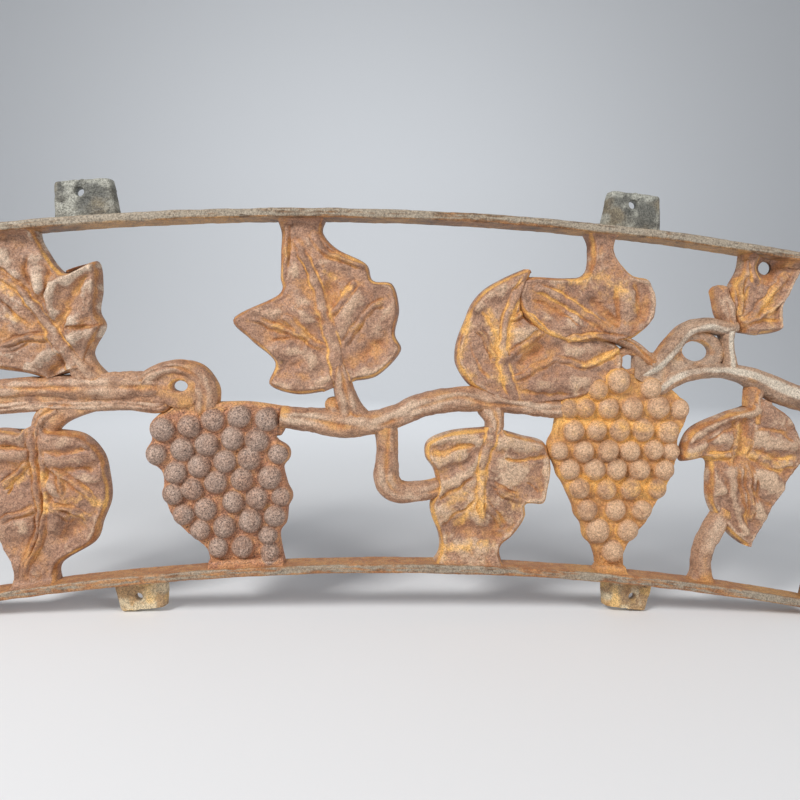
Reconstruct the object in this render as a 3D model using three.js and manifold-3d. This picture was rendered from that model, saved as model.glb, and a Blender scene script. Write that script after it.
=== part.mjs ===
// An arched openwork panel of cast iron: two curved rails with screw lugs, and between them a
// grapevine of stems, lobed leaves and two bunches of grapes, flat behind and in relief in front.
//
// Everything is built on a flat sheet: s runs along the panel, h up from the bottom rail's lower
// edge and d forward from the flat back, in millimetres. bend() then lays the sheet on the arch.

import * as THREE from 'three';
import { mergeVertices } from 'three/addons/utils/BufferGeometryUtils.js';
import Module from 'manifold-3d';

const wasm = await Module();
wasm.setup();

// ---------------------------------------------------------------- driving dimensions, mm
const ARCH_RADIUS = 2180;        // radius of the bottom rail's lower edge
const PANEL_LENGTH = 820;        // along the arch at mid height, over the end bars
const PANEL_HEIGHT = 305;        // over both rails
const RAIL_FACE = 7.5;           // height of a rail's front face
const RAIL_DEPTH = 22;
const RAIL_BEVEL = 1.6;          // worn front arrises of rails and end bars
const RAIL_STEP = 41;            // facet length along a rail
const LUG_WIDTH = 50;            // at the rail
const LUG_TAPER = 4;             // how much narrower each side is at the tip
const LUG_CORNER = 6;
const LUG_THICKNESS = 8;
const LUG_HOLE = 7;              // hole diameter
const TOP_LUG_REACH = 32;        // beyond the rail
const BOTTOM_LUG_REACH = 27;
const TOP_HOLE_OFFSET = 22;      // hole centre beyond the rail
const BOTTOM_HOLE_OFFSET = 15;
const DRAFT = 2.5;               // how far a cast edge leans back from its foot
const RIM = 2.5;                 // upright foot of a leaf's or stem's edge
const LEAF_EDGE = 8;             // depth of a leaf at its margin
const LEAF_CROWN = 6;            // extra depth along its middle
const LEAF_FOLD = 2.6;           // rise of a side vein, and drop of the valley between two
const MIDRIB_RISE = 2.4;
const STEM_GROOVE = 1.4;         // channel between the two ridges of a stem
const GRAPE_DIAMETER = 21;
const GRAPE_REACH = 17.5;        // foremost point of a grape
const GRAPE_SIDES = 7;           // facets round a grape
const BUNCH_PLATE = 9;           // thickness of the plate behind the grapes
const WEB_DEPTH = 10;            // thickness of the webs that fill corners between stems
const TENDRIL_WEB = 30;          // diameter of the web inside the tendril loop
const TENDRIL_EYE = 8.6;         // diameter of the hole through that web
const JOINT_GAP = 0.3;           // clearance at every seam between neighbours

const MID_RADIUS = ARCH_RADIUS + PANEL_HEIGHT / 2;
const HALF_LENGTH = PANEL_LENGTH / 2;
const UPPER_SEAT = PANEL_HEIGHT - RAIL_FACE;   // underside of the top rail
const BEYOND = 40;                             // any reach safely past a face that is cut

// The vine's tables of s and h were drawn for the length and the opening given here. The vine
// stretches with the panel, so that it always fills the opening between the rails.
const DRAWN_LENGTH = 820;
const DRAWN_FLOOR = 7.5;
const DRAWN_OPENING = 290;
const STRETCH = PANEL_LENGTH / DRAWN_LENGTH;
const RISE = (UPPER_SEAT - RAIL_FACE) / DRAWN_OPENING;
const onSheet = (s, h) => new THREE.Vector2(s * STRETCH, RAIL_FACE + (h - DRAWN_FLOOR) * RISE);

// Where the lugs sit along the panel, with each hole's offset along the panel from lug centre.
const TOP_LUGS = { top_left_lug: [-242, -3], top_right_lug: [187, -1] };
const BOTTOM_LUGS = { bottom_left_lug: [-232, -3], bottom_right_lug: [227, 6] };

// ---------------------------------------------------------------- casting colours
const iron = (color) => new THREE.MeshStandardMaterial({ color, roughness: 0.85, metalness: 0.25 });
const RAIL_IRON = iron(0x9c8a74);
const LUG_IRON = iron(0x8a8a72);
const LEAF_IRON = iron(0x8a6a5c);
const GRAPE_IRON = iron(0x9a7260);
const STEM_IRON = iron(0xa58d78);

// ---------------------------------------------------------------- solids on the flat sheet
function solid(geometry) {
  geometry.deleteAttribute('normal');
  geometry.deleteAttribute('uv');
  const bare = mergeVertices(geometry, 1e-4);
  return new wasm.Manifold(new wasm.Mesh({
    numProp: 3,
    vertProperties: new Float32Array(bare.attributes.position.array),
    triVerts: new Uint32Array(bare.index.array),
  }));
}

function signedVolume(points, faces) {
  const corner = (i) => new THREE.Vector3().fromArray(points, 3 * faces[i]);
  let volume = 0;
  for (let i = 0; i < faces.length; i += 3) {
    volume += corner(i).dot(corner(i + 1).cross(corner(i + 2))) / 6;
  }
  return volume;
}

// A skin over a row of loops of [s, h, d] points. Each loop starts at the middle of its back,
// which is also the centre of the fans that close the first and the last loop.
function loft(loops) {
  const count = loops[0].length;
  const points = loops.flat().flatMap(([s, h, d]) => [s, -d, h]);
  const faces = [];
  for (let row = 0; row + 1 < loops.length; row += 1) {
    for (let j = 0; j < count; j += 1) {
      const a = row * count + j;
      const b = row * count + (j + 1) % count;
      faces.push(a, b, b + count, a, b + count, a + count);
    }
  }
  const last = (loops.length - 1) * count;
  for (let j = 1; j + 1 < count; j += 1) {
    faces.push(0, j + 1, j, last, last + j, last + j + 1);
  }
  if (signedVolume(points, faces) < 0) faces.reverse();
  const geometry = new THREE.BufferGeometry();
  geometry.setAttribute('position', new THREE.Float32BufferAttribute(points, 3));
  geometry.setIndex(faces);
  return solid(geometry);
}

// A block of the sheet between two stations, two heights and two depths.
function block([s0, s1], [h0, h1], [d0, d1], steps = 1) {
  const geometry = new THREE.BoxGeometry(s1 - s0, d1 - d0, h1 - h0, steps);
  geometry.translate((s0 + s1) / 2, -(d0 + d1) / 2, (h0 + h1) / 2);
  return solid(geometry);
}

// An outline cast as a plate: upright foot, front edge leaning back by DRAFT, flat behind.
// grow swells it all round, so that its neighbours can be cut clear of it.
function castPlate(outline, thickness, grow = 0) {
  const geometry = new THREE.ExtrudeGeometry(outline, {
    depth: thickness + grow - DRAFT,
    bevelThickness: DRAFT,
    bevelSize: DRAFT,
    bevelOffset: grow - DRAFT,
    bevelSegments: 1,
    curveSegments: 4,
  });
  geometry.rotateX(Math.PI / 2);
  return solid(geometry);
}

// Vine pieces stop one joint gap short of the rails and end bars, and at the flat back.
const opening = block(
  [RAIL_FACE + JOINT_GAP - HALF_LENGTH, HALF_LENGTH - RAIL_FACE - JOINT_GAP],
  [RAIL_FACE + JOINT_GAP, UPPER_SEAT - JOINT_GAP],
  [0, BEYOND],
);

const cutBy = (piece, cutters) => cutters.reduce((rest, cutter) => rest.subtract(cutter), piece);

// ---------------------------------------------------------------- rails, end bars and lugs
// The bar's section, with its two front arrises worn off; the bar runs along s or along h.
function barSection(low, high) {
  const middle = (low + high) / 2;
  return [
    [middle, 0],
    [low, 0],
    [low, RAIL_DEPTH - RAIL_BEVEL],
    [low + RAIL_BEVEL, RAIL_DEPTH],
    [high - RAIL_BEVEL, RAIL_DEPTH],
    [high, RAIL_DEPTH - RAIL_BEVEL],
    [high, 0],
  ];
}

function rail(low) {
  const steps = Math.round(PANEL_LENGTH / RAIL_STEP);
  const section = barSection(low, low + RAIL_FACE);
  const loops = [];
  for (let i = 0; i <= steps; i += 1) {
    const s = PANEL_LENGTH * (i / steps - 0.5);
    loops.push(section.map(([h, d]) => [s, h, d]));
  }
  return loft(loops);
}

function endBar(low) {
  const ends = [RAIL_FACE + JOINT_GAP, UPPER_SEAT - JOINT_GAP];
  const section = barSection(low, low + RAIL_FACE);
  return loft(ends.map((h) => section.map(([s, d]) => [s, h, d])));
}

// side is +1 for a lug above the top rail and -1 for one below the bottom rail.
function lug([station, holeShift], seat, side, reach, holeOffset) {
  const centre = station * STRETCH;
  const half = LUG_WIDTH / 2;
  const tip = half - LUG_TAPER;
  const shoulder = tip + LUG_TAPER * LUG_CORNER / reach;
  const base = seat - side * BEYOND / 4;
  const end = seat + side * reach;
  const outline = new THREE.Shape();
  outline.moveTo(centre - half, base);
  outline.lineTo(centre - shoulder, end - side * LUG_CORNER);
  outline.quadraticCurveTo(centre - tip, end, centre - tip + LUG_CORNER, end);
  outline.lineTo(centre + tip - LUG_CORNER, end);
  outline.quadraticCurveTo(centre + tip, end, centre + shoulder, end - side * LUG_CORNER);
  outline.lineTo(centre + half, base);
  outline.closePath();
  const radius = LUG_HOLE / 2;
  const hole = new THREE.CylinderGeometry(radius, radius, BEYOND, 16);
  hole.translate(centre + holeShift, 0, seat + side * holeOffset);
  const clear = [seat + side * JOINT_GAP, seat + side * 2 * BEYOND].sort((a, b) => a - b);
  const room = block([centre - LUG_WIDTH, centre + LUG_WIDTH], clear, [0, BEYOND]);
  return castPlate(outline, LUG_THICKNESS).intersect(room).subtract(solid(hole));
}

// ---------------------------------------------------------------- stems
// Each route lists [s, h, width, height] along the stem's middle, from root to tip.
const ROUTES = {
  center_vine: [
    [-99, 133, 18, 15], [-74, 130, 21, 15], [-46, 126, 24, 16], [-20, 127, 20, 16],
    [0, 133, 20, 15], [20, 142, 21, 15], [44, 148, 21, 15], [66, 150, 22, 15],
    [100, 147, 15, 14], [136, 146, 17, 13], [148, 147, 15, 12], [158, 149, 11, 10],
  ],
  left_vine: [
    [-450, 178, 18, 15], [-360, 175, 17, 15], [-300, 172, 17, 15], [-262, 168, 22, 16],
    [-230, 166, 25, 15], [-208, 164, 22, 14], [-196, 162, 17, 11],
  ],
  lower_left_vine: [
    [-450, 159, 12, 12], [-360, 160, 12, 12], [-300, 157, 12, 12], [-262, 153, 12, 12],
    [-230, 151, 11, 12], [-203, 147, 12, 11], [-192, 149, 11, 10],
  ],
  tendril_loop: [
    [-217, 163, 14, 13], [-204, 174, 13, 15], [-183, 179, 13, 16], [-167, 172, 16, 15],
    [-161, 158, 20, 14], [-163, 142, 18, 12],
  ],
  hooked_branch: [
    [-9, 126, 22, 14], [-7, 108, 19, 14], [-7, 93, 21, 14], [-7, 78, 23, 14],
    [2, 68, 21, 14], [18, 67, 18, 14], [36, 70, 17, 12],
  ],
  right_lower_vine: [
    [231, 172, 11, 11], [239, 182, 15, 14], [252, 190, 15, 15], [266, 193, 14, 15],
    [284, 196, 13, 15],
    [304, 195, 16, 15], [326, 189, 22, 15], [352, 184, 22, 15], [450, 174, 20, 15],
  ],
  right_upper_vine: [
    [213, 184, 9, 11], [225, 195, 15, 14], [236, 212, 15, 15], [246, 226, 14, 15],
    [262, 233, 14, 15], [278, 233, 14, 15], [289, 237, 11, 14],
  ],
  vine_link: [
    [281, 234, 12, 14], [283, 218, 11, 14], [287, 206, 12, 14], [290, 194, 18, 14],
  ],
  pruned_stub: [
    [281, 235, 12, 13], [274, 250, 15, 14], [265, 268, 13, 12],
  ],
  right_stem: [
    [307, 72, 17, 10], [303, 55, 17, 12], [298, 38, 17, 13], [297, 24, 18, 13], [300, -8, 30, 12],
  ],
  upper_left_stalk: [
    [-251, 166, 32, 15], [-259, 180, 22, 15], [-267, 196, 14, 15], [-273, 208, 9, 14],
  ],
  lower_left_stalk: [
    [-284, 153, 14, 12], [-296, 147, 14, 13], [-302, 136, 11, 14], [-304, 120, 8, 14],
  ],
  top_center_stalk: [
    [-38, 128, 28, 14], [-42, 142, 18, 15], [-46, 156, 13, 15], [-47, 172, 9, 15],
  ],
  lower_center_stalk: [
    [74, 148, 24, 14], [84, 138, 18, 14], [87, 126, 15, 14], [84, 114, 9, 14],
  ],
  upper_right_stalk: [
    [184, 213, 9, 15], [200, 208, 10, 14], [212, 200, 11, 14], [222, 192, 13, 13],
  ],
  lower_right_stalk: [
    [316, 190, 18, 14], [315, 178, 15, 14], [316, 168, 13, 15], [319, 154, 8, 16],
  ],
  bud_stub: [
    [-44, 138, 14, 11], [-53, 144, 12, 12], [-60, 149, 10, 10],
  ],
};

const STEM_STEPS = 2;      // loops between two listed points
const STEM_SIDES = 6;      // facets over the front of a stem

// A stem's section: flat back, upright foot, and a rounded front with a channel down its middle.
function stemLoop(middle, across, width, height) {
  const at = (offset, d) => [middle.x + across.x * offset, middle.y + across.y * offset, d];
  const front = [];
  for (let k = 0; k <= STEM_SIDES; k += 1) {
    const angle = Math.PI * k / STEM_SIDES;
    const groove = k === STEM_SIDES / 2 ? STEM_GROOVE : 0;
    const rise = (height - RIM) * Math.sin(angle) ** 0.7 - groove;
    front.push(at(width / 2 * Math.cos(angle), RIM + rise));
  }
  return [at(0, 0), at(width / 2, 0), ...front, at(-width / 2, 0)];
}

function stem(name, grow = 0) {
  const route = ROUTES[name];
  const path = new THREE.SplineCurve(route.map(([s, h]) => onSheet(s, h)));
  const girth = new THREE.SplineCurve(route.map(([, , w, t]) => new THREE.Vector2(w, t)));
  const steps = (route.length - 1) * STEM_STEPS;
  const loops = [];
  for (let i = 0; i <= steps; i += 1) {
    const along = path.getTangent(i / steps);
    const across = new THREE.Vector2(-along.y, along.x);
    const overrun = i === 0 ? -grow : i === steps ? grow : 0;
    const middle = path.getPoint(i / steps).addScaledVector(along, overrun);
    const { x: width, y: height } = girth.getPoint(i / steps);
    loops.push(stemLoop(middle, across, width + 2 * grow, height + grow));
  }
  return loft(loops);
}

// The eye of the tendril loop, and the webs cast in the corners between a stem and its neighbour.
const TENDRIL_EYE_AT = [-182, 162];
const tendrilEye = onSheet(...TENDRIL_EYE_AT);
const circle = (middle, diameter) => new THREE.EllipseCurve(
  middle.x, middle.y, diameter / 2, diameter / 2,
).getPoints(16).slice(1);
const WEBS = {
  tendril_loop: circle(tendrilEye, TENDRIL_WEB),
  upper_left_stalk: [
    [-258, 212], [-264, 204], [-263, 192], [-255, 174], [-240, 176], [-248, 189], [-250, 198],
    [-247, 204],
  ].map(([s, h]) => onSheet(s, h)),
  lower_left_stalk: [
    [-302, 134], [-296, 148], [-277, 155], [-228, 155], [-226, 147], [-251, 147], [-273, 142],
    [-284, 136], [-291, 126],
  ].map(([s, h]) => onSheet(s, h)),
  right_upper_vine: [
    [203, 201], [207, 196], [208, 190], [206, 184], [216, 176], [226, 178], [237, 181],
    [250, 190], [256, 199], [248, 200], [238, 204], [228, 206], [219, 202],
  ].map(([s, h]) => onSheet(s, h)),
};

// A stem with its web, if it has one.
function limb(name, grow = 0) {
  const whole = stem(name, grow);
  return WEBS[name] ? whole.add(castPlate(new THREE.Shape(WEBS[name]), WEB_DEPTH, grow)) : whole;
}

function drill(diameter, middle) {
  const bit = new THREE.CylinderGeometry(diameter / 2, diameter / 2, BEYOND * 2, 12);
  bit.translate(middle.x, 0, middle.y);
  return solid(bit);
}

const around = (...names) => names.map((name) => limb(name, JOINT_GAP));

// ---------------------------------------------------------------- bunches of grapes
// outline is the plate behind the grapes; each grape is [s, h, share of the full diameter].
const BUNCHES = {
  left_grapes: {
    outline: [
      [-209, 132], [-203, 140], [-195, 143], [-186, 148], [-173, 149], [-149, 148], [-124, 147],
      [-95, 142], [-95, 124], [-104, 117], [-94, 104], [-98, 90], [-94, 70], [-95, 57],
      [-97, 42], [-103, 33], [-102, 19], [-97, -10], [-168, -10], [-171, 22], [-187, 37],
      [-199, 53], [-204, 72], [-204, 90], [-215, 107],
    ],
    grapes: [
      [-198, 127, 1], [-176, 129, 1], [-156, 133, 1], [-134, 135, 1], [-111, 132, 1],
      [-205, 107, 0.9], [-184, 110, 1], [-162, 113, 1], [-141, 117, 1], [-120, 114, 1],
      [-103, 102, 0.85], [-191, 90, 1], [-171, 94, 1], [-148, 97, 1], [-127, 99, 1],
      [-194, 72, 0.9], [-178, 75, 0.9], [-157, 80, 1], [-135, 81, 1], [-110, 82, 1],
      [-187, 54, 0.9], [-167, 57, 1], [-143, 62, 1], [-122, 65, 1], [-102, 65, 0.85],
      [-173, 40, 0.9], [-152, 41, 1], [-129, 45, 1], [-108, 48, 0.9], [-158, 23, 0.9],
      [-137, 23, 1], [-115, 32, 0.8], [-113, 16, 0.9],
    ],
  },
  right_grapes: {
    outline: [
      [140, 128], [136, 114], [145, 94], [156, 77], [168, 57], [178, 41], [188, 26], [193, 13],
      [186, -10], [224, -10], [221, 12], [220, 25], [226, 39], [236, 52], [242, 68], [250, 86],
      [255, 104], [254, 130], [258, 145], [259, 158], [252, 167], [240, 175], [224, 181],
      [207, 184], [192, 184], [170, 174], [155, 160], [141, 151],
    ],
    grapes: [
      [174, 166, 0.9], [192, 175, 0.95], [221, 173, 0.95], [151, 147, 0.9], [165, 150, 0.9],
      [185, 151, 1], [207, 153, 0.95], [229, 156, 1], [250, 157, 0.85], [157, 129, 0.9],
      [177, 131, 1], [198, 133, 0.95], [219, 135, 1], [242, 136, 0.95], [147, 110, 0.8],
      [168, 112, 0.9], [190, 114, 1], [210, 116, 0.9], [230, 119, 0.9], [247, 119, 0.8],
      [158, 95, 0.95], [180, 97, 1], [200, 98, 0.9], [221, 100, 0.95], [243, 103, 0.9],
      [170, 79, 0.95], [193, 80, 0.95], [215, 83, 0.95], [239, 85, 0.9], [178, 61, 0.95],
      [204, 62, 1], [228, 65, 0.95], [190, 43, 1.1], [217, 46, 0.95], [206, 25, 0.95],
    ],
  },
};

// A grape is a dome on an upright foot, as it leaves the sand: [share of radius, of reach].
const GRAPE_PROFILE = [[0, -0.1], [1, -0.1], [1, 0.4], [0.87, 0.72], [0.52, 0.94], [0, 1]];

function grape(centre, share, grow) {
  const radius = share * GRAPE_DIAMETER / 2 + grow;
  const reach = GRAPE_REACH + grow;
  const profile = GRAPE_PROFILE.map(([out, up]) => new THREE.Vector2(out * radius, up * reach));
  const geometry = new THREE.LatheGeometry(profile, GRAPE_SIDES);
  geometry.rotateX(Math.PI);
  geometry.translate(centre.x, 0, centre.y);
  return solid(geometry);
}

function bunch(name, grow = 0) {
  const { outline, grapes } = BUNCHES[name];
  const corners = outline.map(([s, h]) => {
    const { x, y } = onSheet(s, h);
    return new THREE.Vector3(x, y, 0);
  });
  const margin = new THREE.CatmullRomCurve3(corners, true).getPoints(outline.length * 2);
  const plate = new THREE.Shape(margin.slice(1).map(({ x, y }) => new THREE.Vector2(x, y)));
  return grapes.reduce(
    (whole, [s, h, share]) => whole.add(grape(onSheet(s, h), share, grow)),
    castPlate(plate, BUNCH_PLATE, grow),
  );
}

// ---------------------------------------------------------------- leaves
// A leaf is lofted over ribs: each lists fold, then [s, h] on the midrib and on both margins.
// fold is 1 where a side vein runs out to the margin and -1 in the valley between two.
const LEAVES = {
  upper_left_leaf: [
    [0, [-305, 315], [-335, 315], [-280, 315]], [0, [-309, 280], [-337, 282], [-277, 286]],
    [-1, [-302, 262], [-339, 264], [-263, 263]], [1, [-293, 248], [-359, 246], [-239, 271]],
    [0, [-285, 234], [-354, 226], [-237, 249]], [-1, [-278, 220], [-348, 210], [-241, 230]],
    [1, [-274, 208], [-342, 195], [-238, 216]], [0, [-271, 197], [-305, 184], [-250, 198]],
    [0, [-267, 184], [-290, 177], [-254, 184]],
  ],
  lower_left_leaf: [
    [0, [-303, 141], [-314, 137], [-292, 136]], [1, [-303, 126], [-338, 141], [-266, 129]],
    [0, [-303, 112], [-354, 125], [-252, 112]], [-1, [-304, 98], [-352, 100], [-249, 92]],
    [1, [-304, 84], [-359, 78], [-250, 72]], [0, [-306, 68], [-352, 58], [-259, 54]],
    [-1, [-311, 50], [-349, 42], [-269, 36]], [0, [-320, 28], [-343, 25], [-300, 21]],
    [0, [-326, -8], [-346, -8], [-306, -8]],
  ],
  top_center_leaf: [
    [0, [-79, 315], [-94, 315], [-60, 315]], [0, [-82, 288], [-94, 288], [-61, 288]],
    [0, [-80, 273], [-95, 272], [-50, 275]], [0, [-74, 256], [-96, 252], [-27, 263]],
    [-1, [-66, 240], [-98, 237], [-21, 249]], [1, [-60, 224], [-135, 218], [-5, 246]],
    [0, [-56, 210], [-122, 199], [1, 225]], [-1, [-52, 194], [-103, 180], [-2, 204]],
    [1, [-49, 180], [-108, 161], [3, 189]], [0, [-47, 170], [-86, 152], [-16, 168]],
    [0, [-46, 162], [-62, 154], [-36, 163]],
  ],
  broad_left_leaf: [
    [0, [103, 150], [82, 151], [122, 147]], [0, [97, 160], [62, 163], [160, 156]],
    [1, [91, 169], [51, 178], [182, 170]], [0, [88, 179], [49, 190], [194, 184]],
    [-1, [86, 191], [51, 203], [193, 199]], [1, [86, 204], [56, 218], [164, 213]],
    [0, [87, 217], [61, 232], [120, 217]], [0, [90, 232], [71, 245], [104, 229]],
    [0, [96, 248], [87, 256], [105, 246]], [0, [105, 263], [102, 264], [109, 262]],
  ],
  broad_right_leaf: [
    [0, [161, 315], [150, 315], [171, 315]], [0, [162, 286], [154, 286], [176, 284]],
    [-1, [163, 268], [150, 262], [192, 268]], [1, [164, 254], [106, 258], [207, 265]],
    [0, [165, 242], [99, 250], [215, 248]], [-1, [166, 231], [98, 238], [215, 232]],
    [1, [167, 222], [105, 224], [207, 220]], [0, [168, 216], [122, 209], [198, 212]],
    [0, [165, 211], [142, 204], [186, 208]],
  ],
  lower_center_leaf: [
    [0, [84, 128], [77, 126], [98, 124]], [0, [82, 120], [49, 122], [112, 121]],
    [1, [80, 112], [29, 113], [133, 116]], [0, [78, 103], [27, 99], [141, 97]],
    [-1, [77, 94], [35, 87], [140, 77]], [0, [76, 84], [38, 72], [137, 62]],
    [1, [76, 72], [33, 58], [122, 60]], [0, [77, 58], [35, 46], [122, 49]],
    [-1, [77, 42], [42, 30], [113, 33]], [0, [73, 22], [43, 16], [101, 20]],
    [0, [69, -8], [34, -8], [106, -8]],
  ],
  small_folded_leaf: [
    [0, [299, 315], [281, 315], [346, 315]], [0, [298, 286], [281, 284], [333, 289]],
    [1, [296, 270], [279, 268], [328, 270]], [-1, [295, 256], [284, 256], [325, 257]],
    [0, [295, 246], [287, 246], [326, 247]], [0, [297, 237], [290, 237], [327, 238]],
    [0, [299, 231], [293, 231], [307, 231]],
  ],
  lower_right_leaf: [
    [0, [318, 177], [310, 168], [333, 174]], [1, [319, 163], [289, 158], [352, 165]],
    [0, [319, 151], [262, 139], [365, 149]], [0, [319, 138], [259, 112], [374, 133]],
    [-1, [319, 124], [282, 116], [368, 119]], [1, [320, 110], [286, 99], [359, 101]],
    [0, [322, 92], [290, 82], [354, 82]], [-1, [325, 74], [300, 67], [349, 68]],
    [0, [329, 57], [318, 52], [343, 52]], [0, [335, 45], [331, 45], [340, 45]],
  ],
};

const LEAF_STEPS = 2;                        // loops between two listed ribs
const HALF_SPREAD = [0, 0.12, 0.4, 0.72];    // stations from midrib towards the margin

function leafDepth(fold, share) {
  const midrib = share === 0 ? MIDRIB_RISE : 0;
  const crown = LEAF_CROWN * (1 - share * share);
  return LEAF_EDGE + crown + midrib + LEAF_FOLD * fold * Math.sin(Math.PI * share ** 0.8);
}

function leafLoop(middle, left, right, fold, grow) {
  const side = (margin, order) => {
    const reach = margin.clone().sub(middle);
    const span = reach.length() + grow;
    reach.setLength(1);
    const at = (distance, d) => [middle.x + reach.x * distance, middle.y + reach.y * distance, d];
    const lean = Math.min(DRAFT, span / 3);
    const stations = HALF_SPREAD.slice(order > 0 ? 0 : 1)
      .map((share) => at(share * (span - lean), leafDepth(fold, share) + grow));
    const edge = [at(span - lean, LEAF_EDGE + grow), at(span, RIM + grow), at(span, 0)];
    return [...stations, ...edge];
  };
  const leftHalf = side(left, -1);
  const rightHalf = side(right, 1);
  return [[middle.x, middle.y, 0], ...leftHalf.reverse(), ...rightHalf];
}

function leaf(name, grow = 0) {
  const ribs = LEAVES[name];
  const spline = (column) => new THREE.SplineCurve(ribs.map((rib) => onSheet(...rib[column])));
  const [middle, left, right] = [spline(1), spline(2), spline(3)];
  const steps = (ribs.length - 1) * LEAF_STEPS;
  const loops = [];
  for (let i = 0; i <= steps; i += 1) {
    const rib = Math.min(Math.floor(i / LEAF_STEPS), ribs.length - 2);
    const share = (i - rib * LEAF_STEPS) / LEAF_STEPS;
    const fold = THREE.MathUtils.lerp(ribs[rib][0], ribs[rib + 1][0], share);
    const overrun = i === 0 ? -2 * grow : i === steps ? 2 * grow : 0;
    const ahead = middle.getTangent(i / steps).multiplyScalar(overrun);
    const [m, l, r] = [middle, left, right].map((line) => line.getPoint(i / steps).add(ahead));
    loops.push(leafLoop(m, l, r, fold, grow));
  }
  return loft(loops);
}

// The small folded leaf lets light through beside its neck, under the rail.
const NECK_HOLE = 11;
const NECK_HOLE_AT = [306, 290];             // s and h of its middle

// ---------------------------------------------------------------- the assembly
// Every vine piece is cut clear of the pieces listed with it.
const centre = around('center_vine');
const leftStems = around('left_vine', 'lower_left_vine', 'tendril_loop', 'center_vine');
const rightStems = around(
  'center_vine', 'right_lower_vine', 'right_upper_vine', 'upper_right_stalk',
);
const rightBunch = bunch('right_grapes', JOINT_GAP);

const VINE_PIECES = {
  center_vine: [stem('center_vine'), [], STEM_IRON],
  left_vine: [stem('left_vine'), [], STEM_IRON],
  lower_left_vine: [stem('lower_left_vine'), around('left_vine'), STEM_IRON],
  tendril_loop: [
    limb('tendril_loop').subtract(drill(TENDRIL_EYE, tendrilEye)),
    around('left_vine', 'lower_left_vine'), STEM_IRON,
  ],
  hooked_branch: [stem('hooked_branch'), centre, STEM_IRON],
  right_lower_vine: [stem('right_lower_vine'), [], STEM_IRON],
  right_upper_vine: [limb('right_upper_vine'), around('right_lower_vine'), STEM_IRON],
  vine_link: [stem('vine_link'), around('right_lower_vine', 'right_upper_vine'), STEM_IRON],
  pruned_stub: [stem('pruned_stub'), around('right_upper_vine', 'vine_link'), STEM_IRON],
  right_stem: [stem('right_stem'), [leaf('lower_right_leaf', JOINT_GAP)], STEM_IRON],
  upper_left_stalk: [limb('upper_left_stalk'), around('left_vine'), STEM_IRON],
  lower_left_stalk: [
    limb('lower_left_stalk'), around('left_vine', 'lower_left_vine'), STEM_IRON,
  ],
  top_center_stalk: [stem('top_center_stalk'), centre, STEM_IRON],
  lower_center_stalk: [stem('lower_center_stalk'), centre, STEM_IRON],
  upper_right_stalk: [
    stem('upper_right_stalk'), around('right_upper_vine', 'right_lower_vine'), STEM_IRON,
  ],
  lower_right_stalk: [stem('lower_right_stalk'), around('right_lower_vine'), STEM_IRON],
  bud_stub: [stem('bud_stub'), around('center_vine', 'top_center_stalk'), STEM_IRON],
  left_grapes: [bunch('left_grapes'), leftStems, GRAPE_IRON],
  right_grapes: [bunch('right_grapes'), rightStems, GRAPE_IRON],
  upper_left_leaf: [
    leaf('upper_left_leaf'), around('left_vine', 'upper_left_stalk'), LEAF_IRON,
  ],
  lower_left_leaf: [
    leaf('lower_left_leaf'), around('lower_left_vine', 'lower_left_stalk'), LEAF_IRON,
  ],
  top_center_leaf: [
    leaf('top_center_leaf'), around('center_vine', 'top_center_stalk', 'bud_stub'), LEAF_IRON,
  ],
  broad_left_leaf: [
    leaf('broad_left_leaf'), [leaf('broad_right_leaf', JOINT_GAP), rightBunch, ...centre],
    LEAF_IRON,
  ],
  broad_right_leaf: [leaf('broad_right_leaf'), [rightBunch, ...rightStems], LEAF_IRON],
  lower_center_leaf: [
    leaf('lower_center_leaf'),
    [rightBunch, ...around('center_vine', 'lower_center_stalk', 'hooked_branch')], LEAF_IRON,
  ],
  small_folded_leaf: [
    leaf('small_folded_leaf').subtract(drill(NECK_HOLE, onSheet(...NECK_HOLE_AT))),
    around('right_upper_vine', 'pruned_stub', 'vine_link'), LEAF_IRON,
  ],
  lower_right_leaf: [
    leaf('lower_right_leaf'),
    [rightBunch, ...around('right_lower_vine', 'lower_right_stalk')], LEAF_IRON,
  ],
};

// Lays a piece of the flat sheet on the arch; the origin is the middle of the bottom rail's back.
function bend(piece) {
  const { vertProperties, triVerts } = piece.getMesh();
  const positions = new Float32Array(vertProperties);
  for (let i = 0; i < positions.length; i += 3) {
    const angle = positions[i] / MID_RADIUS;
    const radius = ARCH_RADIUS + positions[i + 2];
    positions[i] = radius * Math.sin(angle);
    positions[i + 2] = radius * Math.cos(angle) - ARCH_RADIUS - RAIL_FACE / 2;
  }
  const geometry = new THREE.BufferGeometry();
  geometry.setAttribute('position', new THREE.BufferAttribute(positions, 3));
  geometry.setIndex([...triVerts]);
  return geometry;
}

const panel = new THREE.Group();

function fit(name, piece, material) {
  const mesh = new THREE.Mesh(bend(piece), material);
  mesh.name = name;
  panel.add(mesh);
}

fit('top_rail', rail(UPPER_SEAT), RAIL_IRON);
fit('bottom_rail', rail(0), RAIL_IRON);
fit('left_end_bar', endBar(-HALF_LENGTH), RAIL_IRON);
fit('right_end_bar', endBar(HALF_LENGTH - RAIL_FACE), RAIL_IRON);
for (const [name, place] of Object.entries(TOP_LUGS)) {
  fit(name, lug(place, PANEL_HEIGHT, 1, TOP_LUG_REACH, TOP_HOLE_OFFSET), LUG_IRON);
}
for (const [name, place] of Object.entries(BOTTOM_LUGS)) {
  fit(name, lug(place, 0, -1, BOTTOM_LUG_REACH, BOTTOM_HOLE_OFFSET), LUG_IRON);
}
for (const [name, [piece, cutters, material]] of Object.entries(VINE_PIECES)) {
  fit(name, cutBy(piece.intersect(opening), cutters), material);
}

export default panel;
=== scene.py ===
import bpy
import numpy as np
from mathutils import Matrix, Vector


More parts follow.
